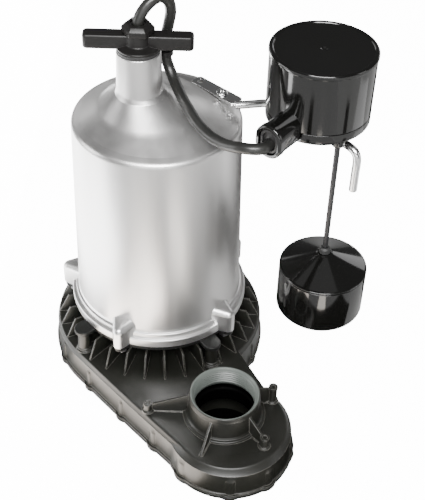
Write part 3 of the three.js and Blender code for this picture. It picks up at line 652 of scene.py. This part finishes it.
def port():
    """The port's neck with a bead round its foot, and the threaded socket with a ledge below."""
    steps_per_pitch, length = 8, THREAD.high - THREAD.low
    count = int(length / THREAD.pitch * steps_per_pitch)
    thread = [(PORT.socket + 0.2, THREAD.high - length * k / count) for k in range(count + 1)]
    profile = [
        (PORT.ledge, DECK - 10), (PORT.ledge + 2.2, DECK - 10), (PORT.collar - 2, DECK - 3),
        (PORT.collar, DECK - 1), (PORT.collar, DECK + 1.8, 1.1), (PORT.r + 2.6, DECK + 2.1, 0.5),
        (PORT.r + 1.5, DECK + 3.6, 1.2), (PORT.r + 0.6, DECK + 18.6, 1), (PORT.r + 0.2, DECK + 20.0, 0.8),
        (PORT.r, PORT.rim, 1.3),
        (PORT.socket + 1.4, PORT.rim, 0.8), (PORT.socket + 0.4, PORT.rim - 1.4, 0.3),
        *thread, (PORT.socket, PORT.floor, 0.4), (PORT.ledge + 0.9, PORT.floor, 0.5),
        (PORT.ledge, PORT.floor - 1.2, 0.3),
    ]
    return turned(profile, PORT.x, PORT.y, 144, thread_wave)


def fins():
    corners = [(FIN.inner, DECK - 1), (FIN.outer, DECK - 1), (FIN.outer, DECK + 0.5),
               (FIN.top_outer, FIN.top), (FIN.inner, FIN.top)]
    return [upright_plate(corners, FIN.thick, FIN.first + 360 * k / FIN.count) for k in range(FIN.count)]


def pillars():
    r, foot = PILLAR.r, PILLAR.r + 2.0
    profile = [(0, DECK - 1), (foot, DECK - 1), (foot, DECK + 0.9, 0.5), (r + 0.9, DECK + 1.2, 0.3),
               (r + 0.7, DECK + 2.6, 0.5), (r + 0.1, DECK + 3.0, 0.4), (r - 0.4, PILLAR.top, 0.4),
               (0, PILLAR.top)]
    return [turned(profile, s.x, s.y, 48) for s in PILLAR_SCREWS]


def posts():
    """Round posts with a foot ring and a slightly wider, dished head."""
    made = []
    r, foot, head = POST_R, POST_R + 1.5, POST_R + 0.35
    for x, y, top in POSTS:
        profile = [(0, DECK - 1), (foot, DECK - 1), (foot, DECK + 0.9, 0.5), (r + 0.4, DECK + 1.3, 0.4),
                   (r, DECK + 2.2, 0.6), (r, top - 2.2, 0.2), (head, top - 1.9, 0.2), (head, top, 0.5),
                   (r - 1.2, top, 0.3), (r - 1.5, top - 0.6, 0.2), (0, top - 0.6)]
        made.append(turned(profile, x, y, 48))
    return made


def webs():
    """Gussets from the port's neck to each post and to the deck's edge, each on a foot strip."""
    made = []
    ends = [(x, y, top - 1.6) for x, y, top in POSTS] + [(*DECK_RIB_END, DECK + 0.8)]
    for x, y, end_top in ends:
        dx, dy = x - PORT.x, y - PORT.y
        reach, turn = hypot(dx, dy), atan2(dy, dx) * 180 / pi
        start = PORT.r - 1
        corners = [(start, DECK - 1.6), (reach, DECK - 1.6), (reach, end_top), (start, PORT.rim - 3.2)]
        made.append(upright_plate(corners, WEB_THICK, turn, PORT.x, PORT.y, 0.4))
        foot = [(start, -1.8), (reach, -1.6), (reach, 1.6), (start, 1.8)]
        made.append(moved(slab(foot, DECK - 1.3, DECK + 0.7, 0, 0.5), PORT.x, PORT.y, turn=turn))
    return made


def volute_base():
    bore = cylinder(PORT.socket + 1, 0, DECK + 4, PORT.x, PORT.y, 128)
    inlet = cylinder(INLET_R, 0, DECK + 4, sides=128)
    base = cut(base_shell(), bore, inlet)
    return join(base, port(), gathered(fins()), gathered(pillars()), gathered(posts()), *webs())


def bottom_plate():
    plate = slab(side("plate"), PLATE.low, PLATE.high, 0.5, 0.6)
    lobes = [lobe(s, "plate", PLATE.low, PLATE.high, 0.5, 0.6) for s in PLATE_SCREWS]
    hole = PLATE_HOLE
    profile = [(0, -1), (hole.head, -1), (hole.head, hole.head_depth), (hole.r, hole.head_depth),
               (hole.r, 9), (0, 9)]
    holes = [turned(profile, s.x, s.y, 32) for s in PLATE_SCREWS]
    return cut(join(plate, gathered(lobes)), gathered(holes))


piece(volute_base(), "volute_shell", "pump", "base_plastic", "volute_base")
piece(bottom_plate(), "floor_plate", "pump", "base_plastic", "bottom_plate")

# -------- motor housing


def leaning(obj):
    """Moves the shoulder and the neck sideways, onto the neck's own axis."""
    for vertex in obj.data.vertices:
        share = min(1.0, max(0.0, (vertex.co.z / MM - CONE.z) / (NECK_FOOT - CONE.z)))
        vertex.co.x += share * NECK.x * MM
        vertex.co.y += share * NECK.y * MM
    return obj


def lug_outline(grow=0.0):
    """A lug in plan, pointing along X: a round nose between two flanks that spread towards the wall."""
    r, flank = LUG.round + grow, radians(LUG.flank)
    tip = LUG.nose + r / cos(flank)
    half = (tip - LUG.root) / tan(flank)
    return rounded([(LUG.root, -half), (tip, 0, r), (LUG.root, half)], True, 16)


def lug(turn):
    """A lug with a broad rounded edge round a top that rises towards the wall."""
    eaves, steps = LUG.top - LUG.edge, 7
    levels = [(lug_outline(-0.6), FLANGE.low), (lug_outline(), FLANGE.low + 0.6)]
    for k in range(steps + 1):
        angle = radians(86) * k / steps
        levels.append((lug_outline(LUG.edge * (cos(angle) - 1)), eaves + LUG.edge * sin(angle)))
    block = loft(levels)
    for vertex in block.data.vertices:
        share = max(0.0, vertex.co.z / MM - eaves) / LUG.edge
        vertex.co.z += share * LUG.rise * MM * (LUG.nose + LUG.round - vertex.co.x / MM) / LUG.round / 3
    return moved(block, turn=turn)


def motor_housing():
    skin = leaning(turned([
        # flange, with a groove and a second ring above it
        (0, FLANGE.low), (FLANGE.r, FLANGE.low, 0.9), (FLANGE.r, FLANGE.high, 2.4),
        (69.6, FLANGE.high + 0.1, 0.3), (69.2, FLANGE.high - 0.5, 0.2), (68.8, FLANGE.high + 3.6, 1.2),
        (67.2, FLANGE.high + 4.3, 0.5),
        # tapered wall, rounded shoulder and slightly dished cone
        (BODY.low, FLANGE.high + 6.6, 2), (BODY.high, BODY.shoulder + 5.6, 8.0), (CONE.r, CONE.z, 3.0),
        (CONE.r - 17, CONE.z + 8.2, 50), (19.2, 249.9, 2.2),
        # neck
        (NECK.r + 1.2, NECK_FOOT, 2.2), (NECK.r + 0.4, NECK_TOP, 0.9), (0, NECK_TOP)], sides=192))
    hollow = leaning(turned([
        (0, 40), (62.5, 40), (62.5, 58), (59.8, 204), (58.4, 208), (50, 215), (36, 220), (13, 244),
        (8, 252), (8, NECK_TOP + 1), (0, NECK_TOP + 1)], sides=96))
    shelf = moved(prism([(0, -60), (40, -60), (40, 60), (0, 60)], SHELF.z, SHELF.z + 40),
                  *polar(SHELF.distance, SHELF.angle), turn=SHELF.angle)
    lugs = gathered([lug(turn) for turn in LUG_TURNS])
    bolt_holes = gathered([cylinder(LUG_BOLT.hole, 50, 67, b.x, b.y, 24) for b in BOLTS])
    return cut(join(skin, lugs), hollow, shelf, bolt_holes)


def seal_plate():
    """The disc under the housing, with a spigot, an ear at each lug and a tongue at each pillar."""
    low, high, r = SEAL_PLATE.low + 8, SEAL.top, SEAL.r
    disc = turned([(SEAL.bore, low), (r, low, 0.7), (r, high, 0.5), (SEAL.spigot, high),
                   (SEAL.spigot, high + 4), (SEAL.spigot - 3.4, high + 4), (SEAL.spigot - 4.4, high),
                   (SEAL.bore, high)], sides=160)
    ears = [moved(slab(lug_outline(-1), low, high, 0.5, 0.4), turn=turn) for turn in LUG_TURNS]
    half, corner = SEAL.tongue, SEAL.tongue - 0.1
    for s in PILLAR_SCREWS:
        reach, turn = hypot(s.x, s.y), atan2(s.y, s.x) * 180 / pi
        tongue = rounded([(reach - 16, -half), (reach + half, -half, corner), (reach + half, half, corner),
                          (reach - 16, half)], True)
        ears.append(moved(slab(tongue, low, high, 0.6, 0.6), turn=turn))
    return join(disc, *ears)


def lug_bolt(bolt):
    b = LUG_BOLT
    head = turned([(0, b.low), (b.head - 0.7, b.low), (b.head, b.low + 0.6, 0.2), (b.head, b.seat),
                   (0, b.seat)], bolt.x, bolt.y, 6)
    washer = turned([(0, b.seat - 0.2), (b.washer, b.seat - 0.2, 0.2), (b.washer, b.seat + 1, 0.2),
                     (0, b.seat + 1)], bolt.x, bolt.y, 40)
    return join(softened(head, 0.25), washer, cylinder(b.r, b.seat + 0.2, b.top, bolt.x, bolt.y, 24))


piece(motor_housing(), "housing_shell", "pump", "die_cast_housing", "motor_housing")
piece(seal_plate(), "seal_plate_disc", "pump", "cast_plate", "seal_plate")

for k, bolt in enumerate(BOLTS):
    piece(lug_bolt(bolt), f"bolt_{k + 1}", "pump", "steel", f"lug_bolt_{k + 1}")

# -------- handle, cord nut and cord


def handle():
    bar = slab(rounded_rectangle(BAR.length, BAR.depth, 3.2), BAR.low, BAR.high, 1.6, 1.6, 5)
    hub = turned([(0, BAR.low), (15.4, BAR.low, 0.5), (15.4, BAR.low + 1.6, 0.8),
                  (12.6, BAR.low + 2.4, 0.5), (9.4, BAR.low + 3.6, 1.5), (8.9, BAR.high + 0.6, 0.5),
                  (0, BAR.high + 0.6)], sides=96)
    bore = cylinder(7.8, BAR.low - 1, BAR.high + 2)
    return moved(cut(join(bar, hub), bore), NECK.x, NECK.y, turn=BAR.turn)


def cord_nut():
    """A bevelled hexagon over a stub that goes through the handle."""
    r, seat, top = NUT.r, BAR.high + 0.9, CORD_NUT.high
    hexagon = turned([(0, seat), (r, seat), (r, top - 2.9), (r - NUT.bevel, top), (0, top)], sides=6)
    body = join(softened(hexagon, 0.5, segments=3), cylinder(NUT.stub, NUT.stub_low, seat + 1))
    hole = cylinder(CORD_R + CORD_PLAY, NUT.stub_low - 6, top + 1)
    recess = cylinder(NUT.recess, NUT.recess_low, top + 1)
    return moved(cut(body, hole, recess), NECK.x, NECK.y, turn=BAR.turn)


def on_gland_axis(distance):
    return (*polar(distance, GLAND.turn, SWITCH.x, SWITCH.y), GLAND.cord_z)


CORD_KNOTS = [
    # up through the nut, and over in a loop
    (NECK.x, NECK.y, 262), (NECK.x, NECK.y, 276), (NECK.x, NECK.y, 290), (NECK.x, NECK.y, 303),
    (-12.9, -2, 308.6), (-9.6, -2, 314), (-4.2, -2, 319), (2.6, -2, 321.4), (8.6, -1.6, 317),
    # down past the handle and the tie
    (11, -0.4, 308.5), (10.4, 1.4, 298.5), (9, 3, 289), (8.4, 3.8, 280), (8.8, 3.8, 271), (10.4, 2, 263),
    # forwards over the cone
    (11.2, -5, 256.6), (10.6, -15.5, 253), (10.2, -25, 250.4), (10.4, -35, 247.8), (11, -45.4, 244.8),
    (12.8, -54, 242.6), (15.1, -63, 241.6), (17.8, -73.3, 242.8),
    # round to the switch and into its gland
    (20.7, -81.6, 245), (24.6, -89, 247.4), (30.4, -94.6, 248.4), (36.6, -96.4, 248.2),
    *(on_gland_axis(d) for d in (61, 54, 46, 38)),
]


def cord_tie():
    """A strap round the cord, with a foot towards the neck."""
    inner, outer = CORD_R + 0.5, CORD_R + 1.8
    turn = atan2(TIE.y - NECK.y, TIE.x - NECK.x) * 180 / pi
    strap = turned([(inner, TIE.low, 0.2), (outer, TIE.low, 0.5), (outer, TIE.high, 0.5),
                    (inner, TIE.high, 0.2)], TIE.x, TIE.y, 48)
    foot = slab(rounded_rectangle(5, 4.4, 1), TIE.low - 0.2, TIE.high + 0.2, 0.5, 0.5)
    foot = moved(foot, *polar(19.0, turn, NECK.x, NECK.y), turn=turn)
    return cut(join(strap, foot), cylinder(inner, 270, 280, TIE.x, TIE.y))


def neck_washer():
    bore = 8.2
    profile = [(bore, NECK.low), (NECK.r, NECK.low, 0.5), (NECK.r, NECK.high, 0.5), (bore, NECK.high)]
    return turned(profile, NECK.x, NECK.y, 96)


def nut_grommet():
    bore, r, low, high = 4.3, 5.6, 301, 304.2
    profile = [(bore, low), (r, low), (r, high, 0.5), (bore, high, 0.5)]
    return turned(profile, NECK.x, NECK.y, 48)


piece(handle(), "handle_bar", "pump", "handle_plastic", "handle")
piece(neck_washer(), "neck_washer", "pump", "black_rubber", "handle_seal")
piece(cord_nut(), "gland_nut", "pump", "handle_plastic", "cord_nut")
piece(nut_grommet(), "nut_grommet", "pump", "black_rubber", "cord_grommet")
piece(swept(smooth_path(CORD_KNOTS), CORD_R), "cord", "pump", "cord_jacket", "power_cord")
piece(cord_tie(), "cord_tie", "pump", "handle_plastic", "cord_clip")

# -------- bracket


def along_run(distance, z=BRACKET.z):
    return (*polar(distance, BRACKET.run, SWITCH.x, SWITCH.y), z)


def bracket():
    """A flat tab on the housing's shelf, and a rod that runs from it under the switch and hooks down."""
    tab = moved(slab(rounded_rectangle(11, 44, 2.4), 0, TAB_THICK, 0.4, 0.5), *BRACKET.tab, TAB_LOW)
    tab = moved(tab, turn=SHELF.angle)
    drop = BRACKET.drop
    knots = [
        (53.5, -20.5, 232.6), (59.5, -22.2, 232.5), (66.9, -23.9, 232.3), (75.2, -25.8, 232),
        (80.5, -29, 231.7), *(along_run(d) for d in (-34, -18, 0, 18, drop - 9)),
        along_run(drop - 2.4, BRACKET.z - 2.2), along_run(drop, BRACKET.z - 8), along_run(drop, 212),
        along_run(drop, BRACKET.hook_end),
    ]
    rod = swept(smooth_path(knots, 14), BRACKET.r, 36, 0.7)
    hole = cylinder(2.6, 220, 240, *BRACKET.hole, 32)
    screw_hole = cylinder(2.3, 220, 240, BRACKET_SCREW.x, BRACKET_SCREW.y, 32)
    return cut(join(tab, rod), hole, screw_hole)


def bracket_screw():
    """A screw with a domed head and a cross slot."""
    low, high, x, y = BRACKET_SCREW.low, BRACKET_SCREW.high, BRACKET_SCREW.x, BRACKET_SCREW.y
    seat = TAB_LOW + TAB_THICK + 0.2
    screw = turned([(0, low), (1.9, low), (1.9, seat), (4.4, seat, 0.2), (4.3, seat + 1.5, 1.2),
                    (2.2, high, 1.4), (0, high)], x, y, 64)
    slots = []
    for turn in (20, 110):
        slot = prism([(-2.1, -0.5), (2.1, -0.5), (2.1, 0.5), (-2.1, 0.5)], high - 1.3, high + 1)
        slots.append(moved(softened(slot, 0.1), x, y, turn=turn))
    return cut(screw, *slots)


piece(bracket(), "bracket_arm", "pump", "polished_steel", "bracket_rod")
piece(bracket_screw(), "bracket_bolt", "pump", "polished_steel", "bracket_screw")

# -------- float switch


def gland(width, height, start, end, round_end=0.0):
    """An upright oval block that points from the switch's axis towards the cord."""
    outline = rounded_rectangle(width, height, width / 2 - 0.2, 14)
    block = slab(outline, start, end, 0, round_end)
    return moved(block, SWITCH.x, SWITCH.y, GLAND.z, turn=GLAND.turn, tilt=SIDEWAYS)


def gland_bore(r, start, end):
    block = slab(circle(r, 48), start, end)
    return moved(block, SWITCH.x, SWITCH.y, GLAND.cord_z, turn=GLAND.turn, tilt=SIDEWAYS)


def switch_cap():
    r, top, wall = SWITCH.r, SWITCH.high, SWITCH.wall
    cup = turned([
        (0, SWITCH.parting), (r, SWITCH.parting, 0.4), (r, top - 3.6, 0.3), (r + 0.6, top - 3.2, 0.3),
        (r + 0.6, top, 1.5), (r - 2.2, top, 0.7), (r - 2.9, top - 0.9, 0.4), (2.6, top - 0.9, 0.6),
        (1.4, top - 1.8, 0.5), (0, top - 1.9)], SWITCH.x, SWITCH.y, 160)
    cavity = turned([(0, SWITCH.low - 20), (r - wall, SWITCH.low - 20), (r - wall, top - 3, 1.5),
                     (0, top - 3)], SWITCH.x, SWITCH.y, 96)
    spigot = gland(GLAND.width, GLAND.height, r - wall - 0.6, GLAND.face, 1.2)
    collar = gland(GLAND.width + 1.2, GLAND.height + 1.2, GLAND.face - 5.4, GLAND.face, 1.3)
    recess = gland(GLAND.width - 4.4, GLAND.height - 4.4, GLAND.face - 12, GLAND.face + 2)
    shell = cut(join(cup, spigot, collar), cavity)
    return cut(shell, recess, gland_bore(CORD_R + 0.8, 20, GLAND.face))


def switch_pan():
    r, wall, low, parting = SWITCH.r, SWITCH.wall, SWITCH.low, SWITCH.parting
    pan = turned([
        (0, low), (r - 3, low, 1.2), (r, low + 3.2, 2.6), (r, parting - 0.3, 0.3),
        (r - wall, parting - 0.3), (r - wall, low + 3.5), (0, low + 3.5)], SWITCH.x, SWITCH.y, 160)
    guide = turned([(0, low - 5), (4.6, low - 5, 0.8), (4.6, low - 1, 0.3), (5.4, low - 0.4, 0.3),
                    (5.4, low + 1), (4.6, parting + 1.2), (0, parting + 1.2)], FLOAT_ROD.x, FLOAT_ROD.y, 48)
    saddle = slab(rounded_rectangle(44, 12, 2), BRACKET.z - 4.6, low + 1, 1.2, 0)
    saddle = moved(moved(saddle, turn=BRACKET.run), SWITCH.x - 2.6, SWITCH.y + 7.6)
    tunnel = slab(circle(BRACKET.r + 0.4, 48), -45, 45)
    tunnel = moved(tunnel, SWITCH.x, SWITCH.y, BRACKET.z, turn=BRACKET.run, tilt=SIDEWAYS)
    spigot = gland(GLAND.width + 2.2, GLAND.height + 2.2, r - wall - 1.2, GLAND.face)
    rod_bore = cylinder(FLOAT_ROD.r + 0.3, low - 10, parting + 5, FLOAT_ROD.x, FLOAT_ROD.y, 40)
    return cut(join(pan, guide, saddle), tunnel, spigot, rod_bore)


def gland_plug():
    width, height = GLAND.width - 5.2, GLAND.height - 5.2
    plug = gland(width, height, GLAND.face - 11.6, GLAND.face - 1.2, 0.8)
    dish = gland(width - 4.4, height - 4.4, GLAND.face - 3.4, GLAND.face + 1)
    return cut(plug, dish, gland_bore(CORD_R + 0.3, 40, GLAND.face + 4))


piece(switch_cap(), "switch_cap", "pump", "gloss_black_plastic", "switch_body")
piece(switch_pan(), "switch_pan", "pump", "gloss_black_plastic", "switch_base")
piece(gland_plug(), "gland_plug", "pump", "black_rubber", "gland_insert")

# -------- float


def float_bowl():
    r, low, rim, wall = FLOAT.r, FLOAT.low, FLOAT.high, 2.0
    return turned([
        (0, low + 0.8), (14, low + 0.1, 1), (r - 4, low, 2), (r, low + 4.4, 3.6), (r, rim, 0.4),
        (r - wall, rim), (r - wall, low + 4.6, 2), (r - 5, low + wall, 1), (0, low + wall + 0.8)],
        FLOAT.x, FLOAT.y, 160)


def float_cone():
    r, low, tip, wall = FLOAT_CAP.r, FLOAT_CAP.low, FLOAT_CAP.high, 2.0
    bore = FLOAT_ROD.r + 0.1
    return turned([
        (bore, tip - wall - 2), (r - wall - 2, low + 0.3), (r - wall - 2, low), (r, low, 0.4),
        (r, low + 1.6, 0.7), (r - 1.6, low + 2.0, 0.5), (6.4, tip - 0.8, 1), (5.2, tip, 0.5), (bore, tip)],
        FLOAT_CAP.x, FLOAT_CAP.y, 160)


def float_boot():
    bore, r, low, high = FLOAT_ROD.r + 0.1, FLOAT_COLLAR.r, FLOAT_COLLAR.low, FLOAT_COLLAR.high
    profile = [(bore, low), (r, low, 0.4), (r - 0.4, high - 1.4, 0.6), (r - 1.8, high, 0.6), (bore, high)]
    return turned(profile, FLOAT_COLLAR.x, FLOAT_COLLAR.y, 48)


def float_stem():
    r, low, high = FLOAT_ROD.r, FLOAT_ROD.low, FLOAT_ROD.high
    return turned([(0, low), (r, low, 0.4), (r, high, 0.4), (0, high)], FLOAT_ROD.x, FLOAT_ROD.y, 40)


piece(float_bowl(), "float_bowl", "float", "gloss_black_plastic", "float_shell")
piece(float_cone(), "float_cone", "float", "gloss_black_plastic", "float_cap")
piece(float_boot(), "float_boot", "float", "black_rubber", "float_collar")
piece(float_stem(), "float_stem", "float", "dark_steel", "float_rod")

# -------- studio

# The camera looks down from the front left, so upright walls mirror the floor towards it, and cards on
# the floor shape what they show. TOWARDS and RIGHT are the camera's directions in plan.
PITCH = radians(41.2)
TOWARDS = Vector((-0.4395, -0.8982, 0))
RIGHT = Vector((0.8982, -0.4395, 0))
CARD_TURN = -26.0  # lays a card's width along RIGHT
WHITE = 14.0  # radiance that the view transform shows as white


def glowing(name, level, color=(1, 1, 1)):
    """A material that gives off light, mottled a little like cloth."""
    n = Nodes(name)
    glow = n.multiplied(n.ranged(n.noise(9.0, 2.0), 0.92, 1.0), level)
    n.wire(Base_Color=(0, 0, 0, 1), Roughness=1.0, Specular_IOR_Level=0.0, Emission_Color=(*color, 1),
           Emission_Strength=glow)
    return n.material


def sheet(name, width, depth, material):
    """A flat rectangle, in metres."""
    mesh = bpy.data.meshes.new(name)
    x, y = width / 2, depth / 2
    mesh.from_pydata([(-x, -y, 0), (x, -y, 0), (x, y, 0), (-x, y, 0)], [], [(0, 1, 2, 3)])
    mesh.materials.append(material)
    flat = bpy.data.objects.new(name, mesh)
    bpy.context.scene.collection.objects.link(flat)
    return flat


def floor():
    """A pale floor that the camera sees as plain white."""
    n = Nodes("pale_floor")
    glow = n.multiplied(n.add("ShaderNodeLightPath").outputs["Is Camera Ray"], WHITE)
    n.wire(Base_Color=(0.82, 0.82, 0.81, 1), Roughness=0.6, Emission_Color=(1, 1, 1, 1),
           Emission_Strength=glow)
    sheet("floor", 12, 12, n.material)


def card(name, centre, width, depth, turn, level, color=(1, 1, 1)):
    """A light or dark card on the floor. The camera does not see it, but the pump's surfaces mirror it."""
    laid = sheet(name, width, depth, glowing(name, level, color))
    laid.location = (*centre, 0)
    laid.rotation_euler.z = radians(turn)
    laid.visible_camera = laid.visible_diffuse = laid.visible_shadow = laid.visible_transmission = False
    return laid


def pump_card(name, right, towards, width, depth, level, color=(1, 1, 1)):
    """A card so far to the right of the motor axis, and so far towards the camera."""
    place = RIGHT * right + TOWARDS * towards
    return card(name, place[:2], width, depth, CARD_TURN, level, color)


def switch_card(name, degrees, distance, width, depth, level):
    """A card that points away from the switch; 0 degrees is towards the camera, and 90 is to the right."""
    way = TOWARDS * cos(radians(degrees)) + RIGHT * sin(radians(degrees))
    centre = (SWITCH.x * MM + way.x * distance, SWITCH.y * MM + way.y * distance)
    return card(name, centre, width, depth, atan2(way.y, way.x) * 180 / pi, level)


def cards():
    """The cards, each laid on top of the ones before it."""
    laid = [
        pump_card("front_card", -0.02, 0.375, 0.70, 0.55, 1.1),
        pump_card("left_card", -0.31, -0.24, 0.32, 0.86, 11.0),
        card("base_card", (-0.108, -0.107), 0.20, 0.075, -72.8, 10.0, (1.0, 0.91, 0.82)),
        pump_card("drum_card", -0.06, 0.24, 0.08, 0.10, 6.0, (1.0, 0.94, 0.86)),
        pump_card("drum_edge_card", 0.13, 0.26, 0.05, 0.14, 9.0, (1.0, 0.94, 0.86)),
        pump_card("back_flag", 0.21, -0.13, 0.14, 0.20, 0.0),
        switch_card("bar_left", -20, 0.31, 0.16, 0.05, 0.0),
        switch_card("bar_right", 58, 0.31, 0.16, 0.05, 0.0),
        switch_card("right_card", 96, 0.34, 0.20, 0.20, 2.0),
        switch_card("far_flag", 158, 0.36, 0.26, 0.24, 0.0),
        pump_card("float_flag", 0.15, 0.145, 0.24, 0.11, 0.0),
    ]
    for k, each in enumerate(laid):
        each.location.z = 0.0004 + 0.0001 * k


def softbox(name, place, target, width, height, radiance):
    """A rectangular lamp of a given radiance that points at the target."""
    light = bpy.data.lights.new(name, "AREA")
    light.shape = "RECTANGLE"
    light.size, light.size_y = width, height
    light.energy = radiance * pi * width * height
    lamp = bpy.data.objects.new(name, light)
    lamp.location = place
    lamp.rotation_mode = "QUATERNION"
    lamp.rotation_quaternion = (Vector(target) - Vector(place)).to_track_quat("-Z", "Y")
    bpy.context.scene.collection.objects.link(lamp)
    return lamp


def world():
    """White for the camera, a soft grey for diffuse light, and dim in reflections."""
    studio = bpy.data.worlds.new("studio")
    studio.use_nodes = True
    tree = studio.node_tree
    back = tree.nodes["Background"]
    path = tree.nodes.new("ShaderNodeLightPath")
    unseen = tree.nodes.new("ShaderNodeMapRange")
    unseen.inputs["To Min"].default_value = 0.6
    unseen.inputs["To Max"].default_value = 0.12
    tree.links.new(path.outputs["Is Glossy Ray"], unseen.inputs["Value"])
    level = tree.nodes.new("ShaderNodeMapRange")
    level.inputs["To Max"].default_value = WHITE
    tree.links.new(path.outputs["Is Camera Ray"], level.inputs["Value"])
    tree.links.new(unseen.outputs["Result"], level.inputs["To Min"])
    tree.links.new(level.outputs["Result"], back.inputs["Strength"])
    back.inputs["Color"].default_value = (1, 1, 1, 1)
    bpy.context.scene.world = studio


def camera():
    lens = bpy.data.cameras.new("camera")
    lens.lens, lens.sensor_width = 75.2, 36.0
    viewer = bpy.data.objects.new("camera", lens)
    viewer.location = (-0.2432, -0.5970, 0.6580)
    look = -TOWARDS * cos(PITCH) - Vector((0, 0, sin(PITCH)))
    viewer.rotation_mode = "QUATERNION"
    viewer.rotation_quaternion = look.to_track_quat("-Z", "Y") @ Quaternion((0, 0, 1), radians(1.8))
    bpy.context.scene.collection.objects.link(viewer)
    bpy.context.scene.camera = viewer


def up(height):
    return Vector((0, 0, height))


def lamps():
    """Softboxes round the pump; the last three only make highlights."""
    softbox("front_box", TOWARDS + up(1.25), up(0.15), 0.9, 0.55, 11.0)
    softbox("low_box", TOWARDS * 1.7 + up(0.42), up(0.12), 1.8, 0.4, 4.0)
    softbox("top_box", up(1.7), up(0.1), 1.2, 1.2, 0.35)
    softbox("left_box", RIGHT * -1.3 + TOWARDS * 0.1 + up(0.4), up(0.1), 0.6, 0.7, 6.0)
    softbox("right_box", RIGHT * 1.3 + TOWARDS * 0.3 + up(0.5), (0.05, 0, 0.1), 0.4, 0.7, 2.5)
    highlights = [
        softbox("back_left_box", TOWARDS * -1.2 - RIGHT * 0.9 + up(0.65), up(0.2), 0.7, 0.5, 1.6),
        softbox("back_right_box", TOWARDS * -1.2 + RIGHT * 0.9 + up(0.65), up(0.2), 0.7, 0.5, 2.4),
        softbox("glint_box", TOWARDS * 1.25 + up(1.5), up(0.15), 1.3, 0.7, 18.0),
    ]
    for lamp in highlights:
        lamp.visible_diffuse = False


floor()
cards()
lamps()
world()
camera()
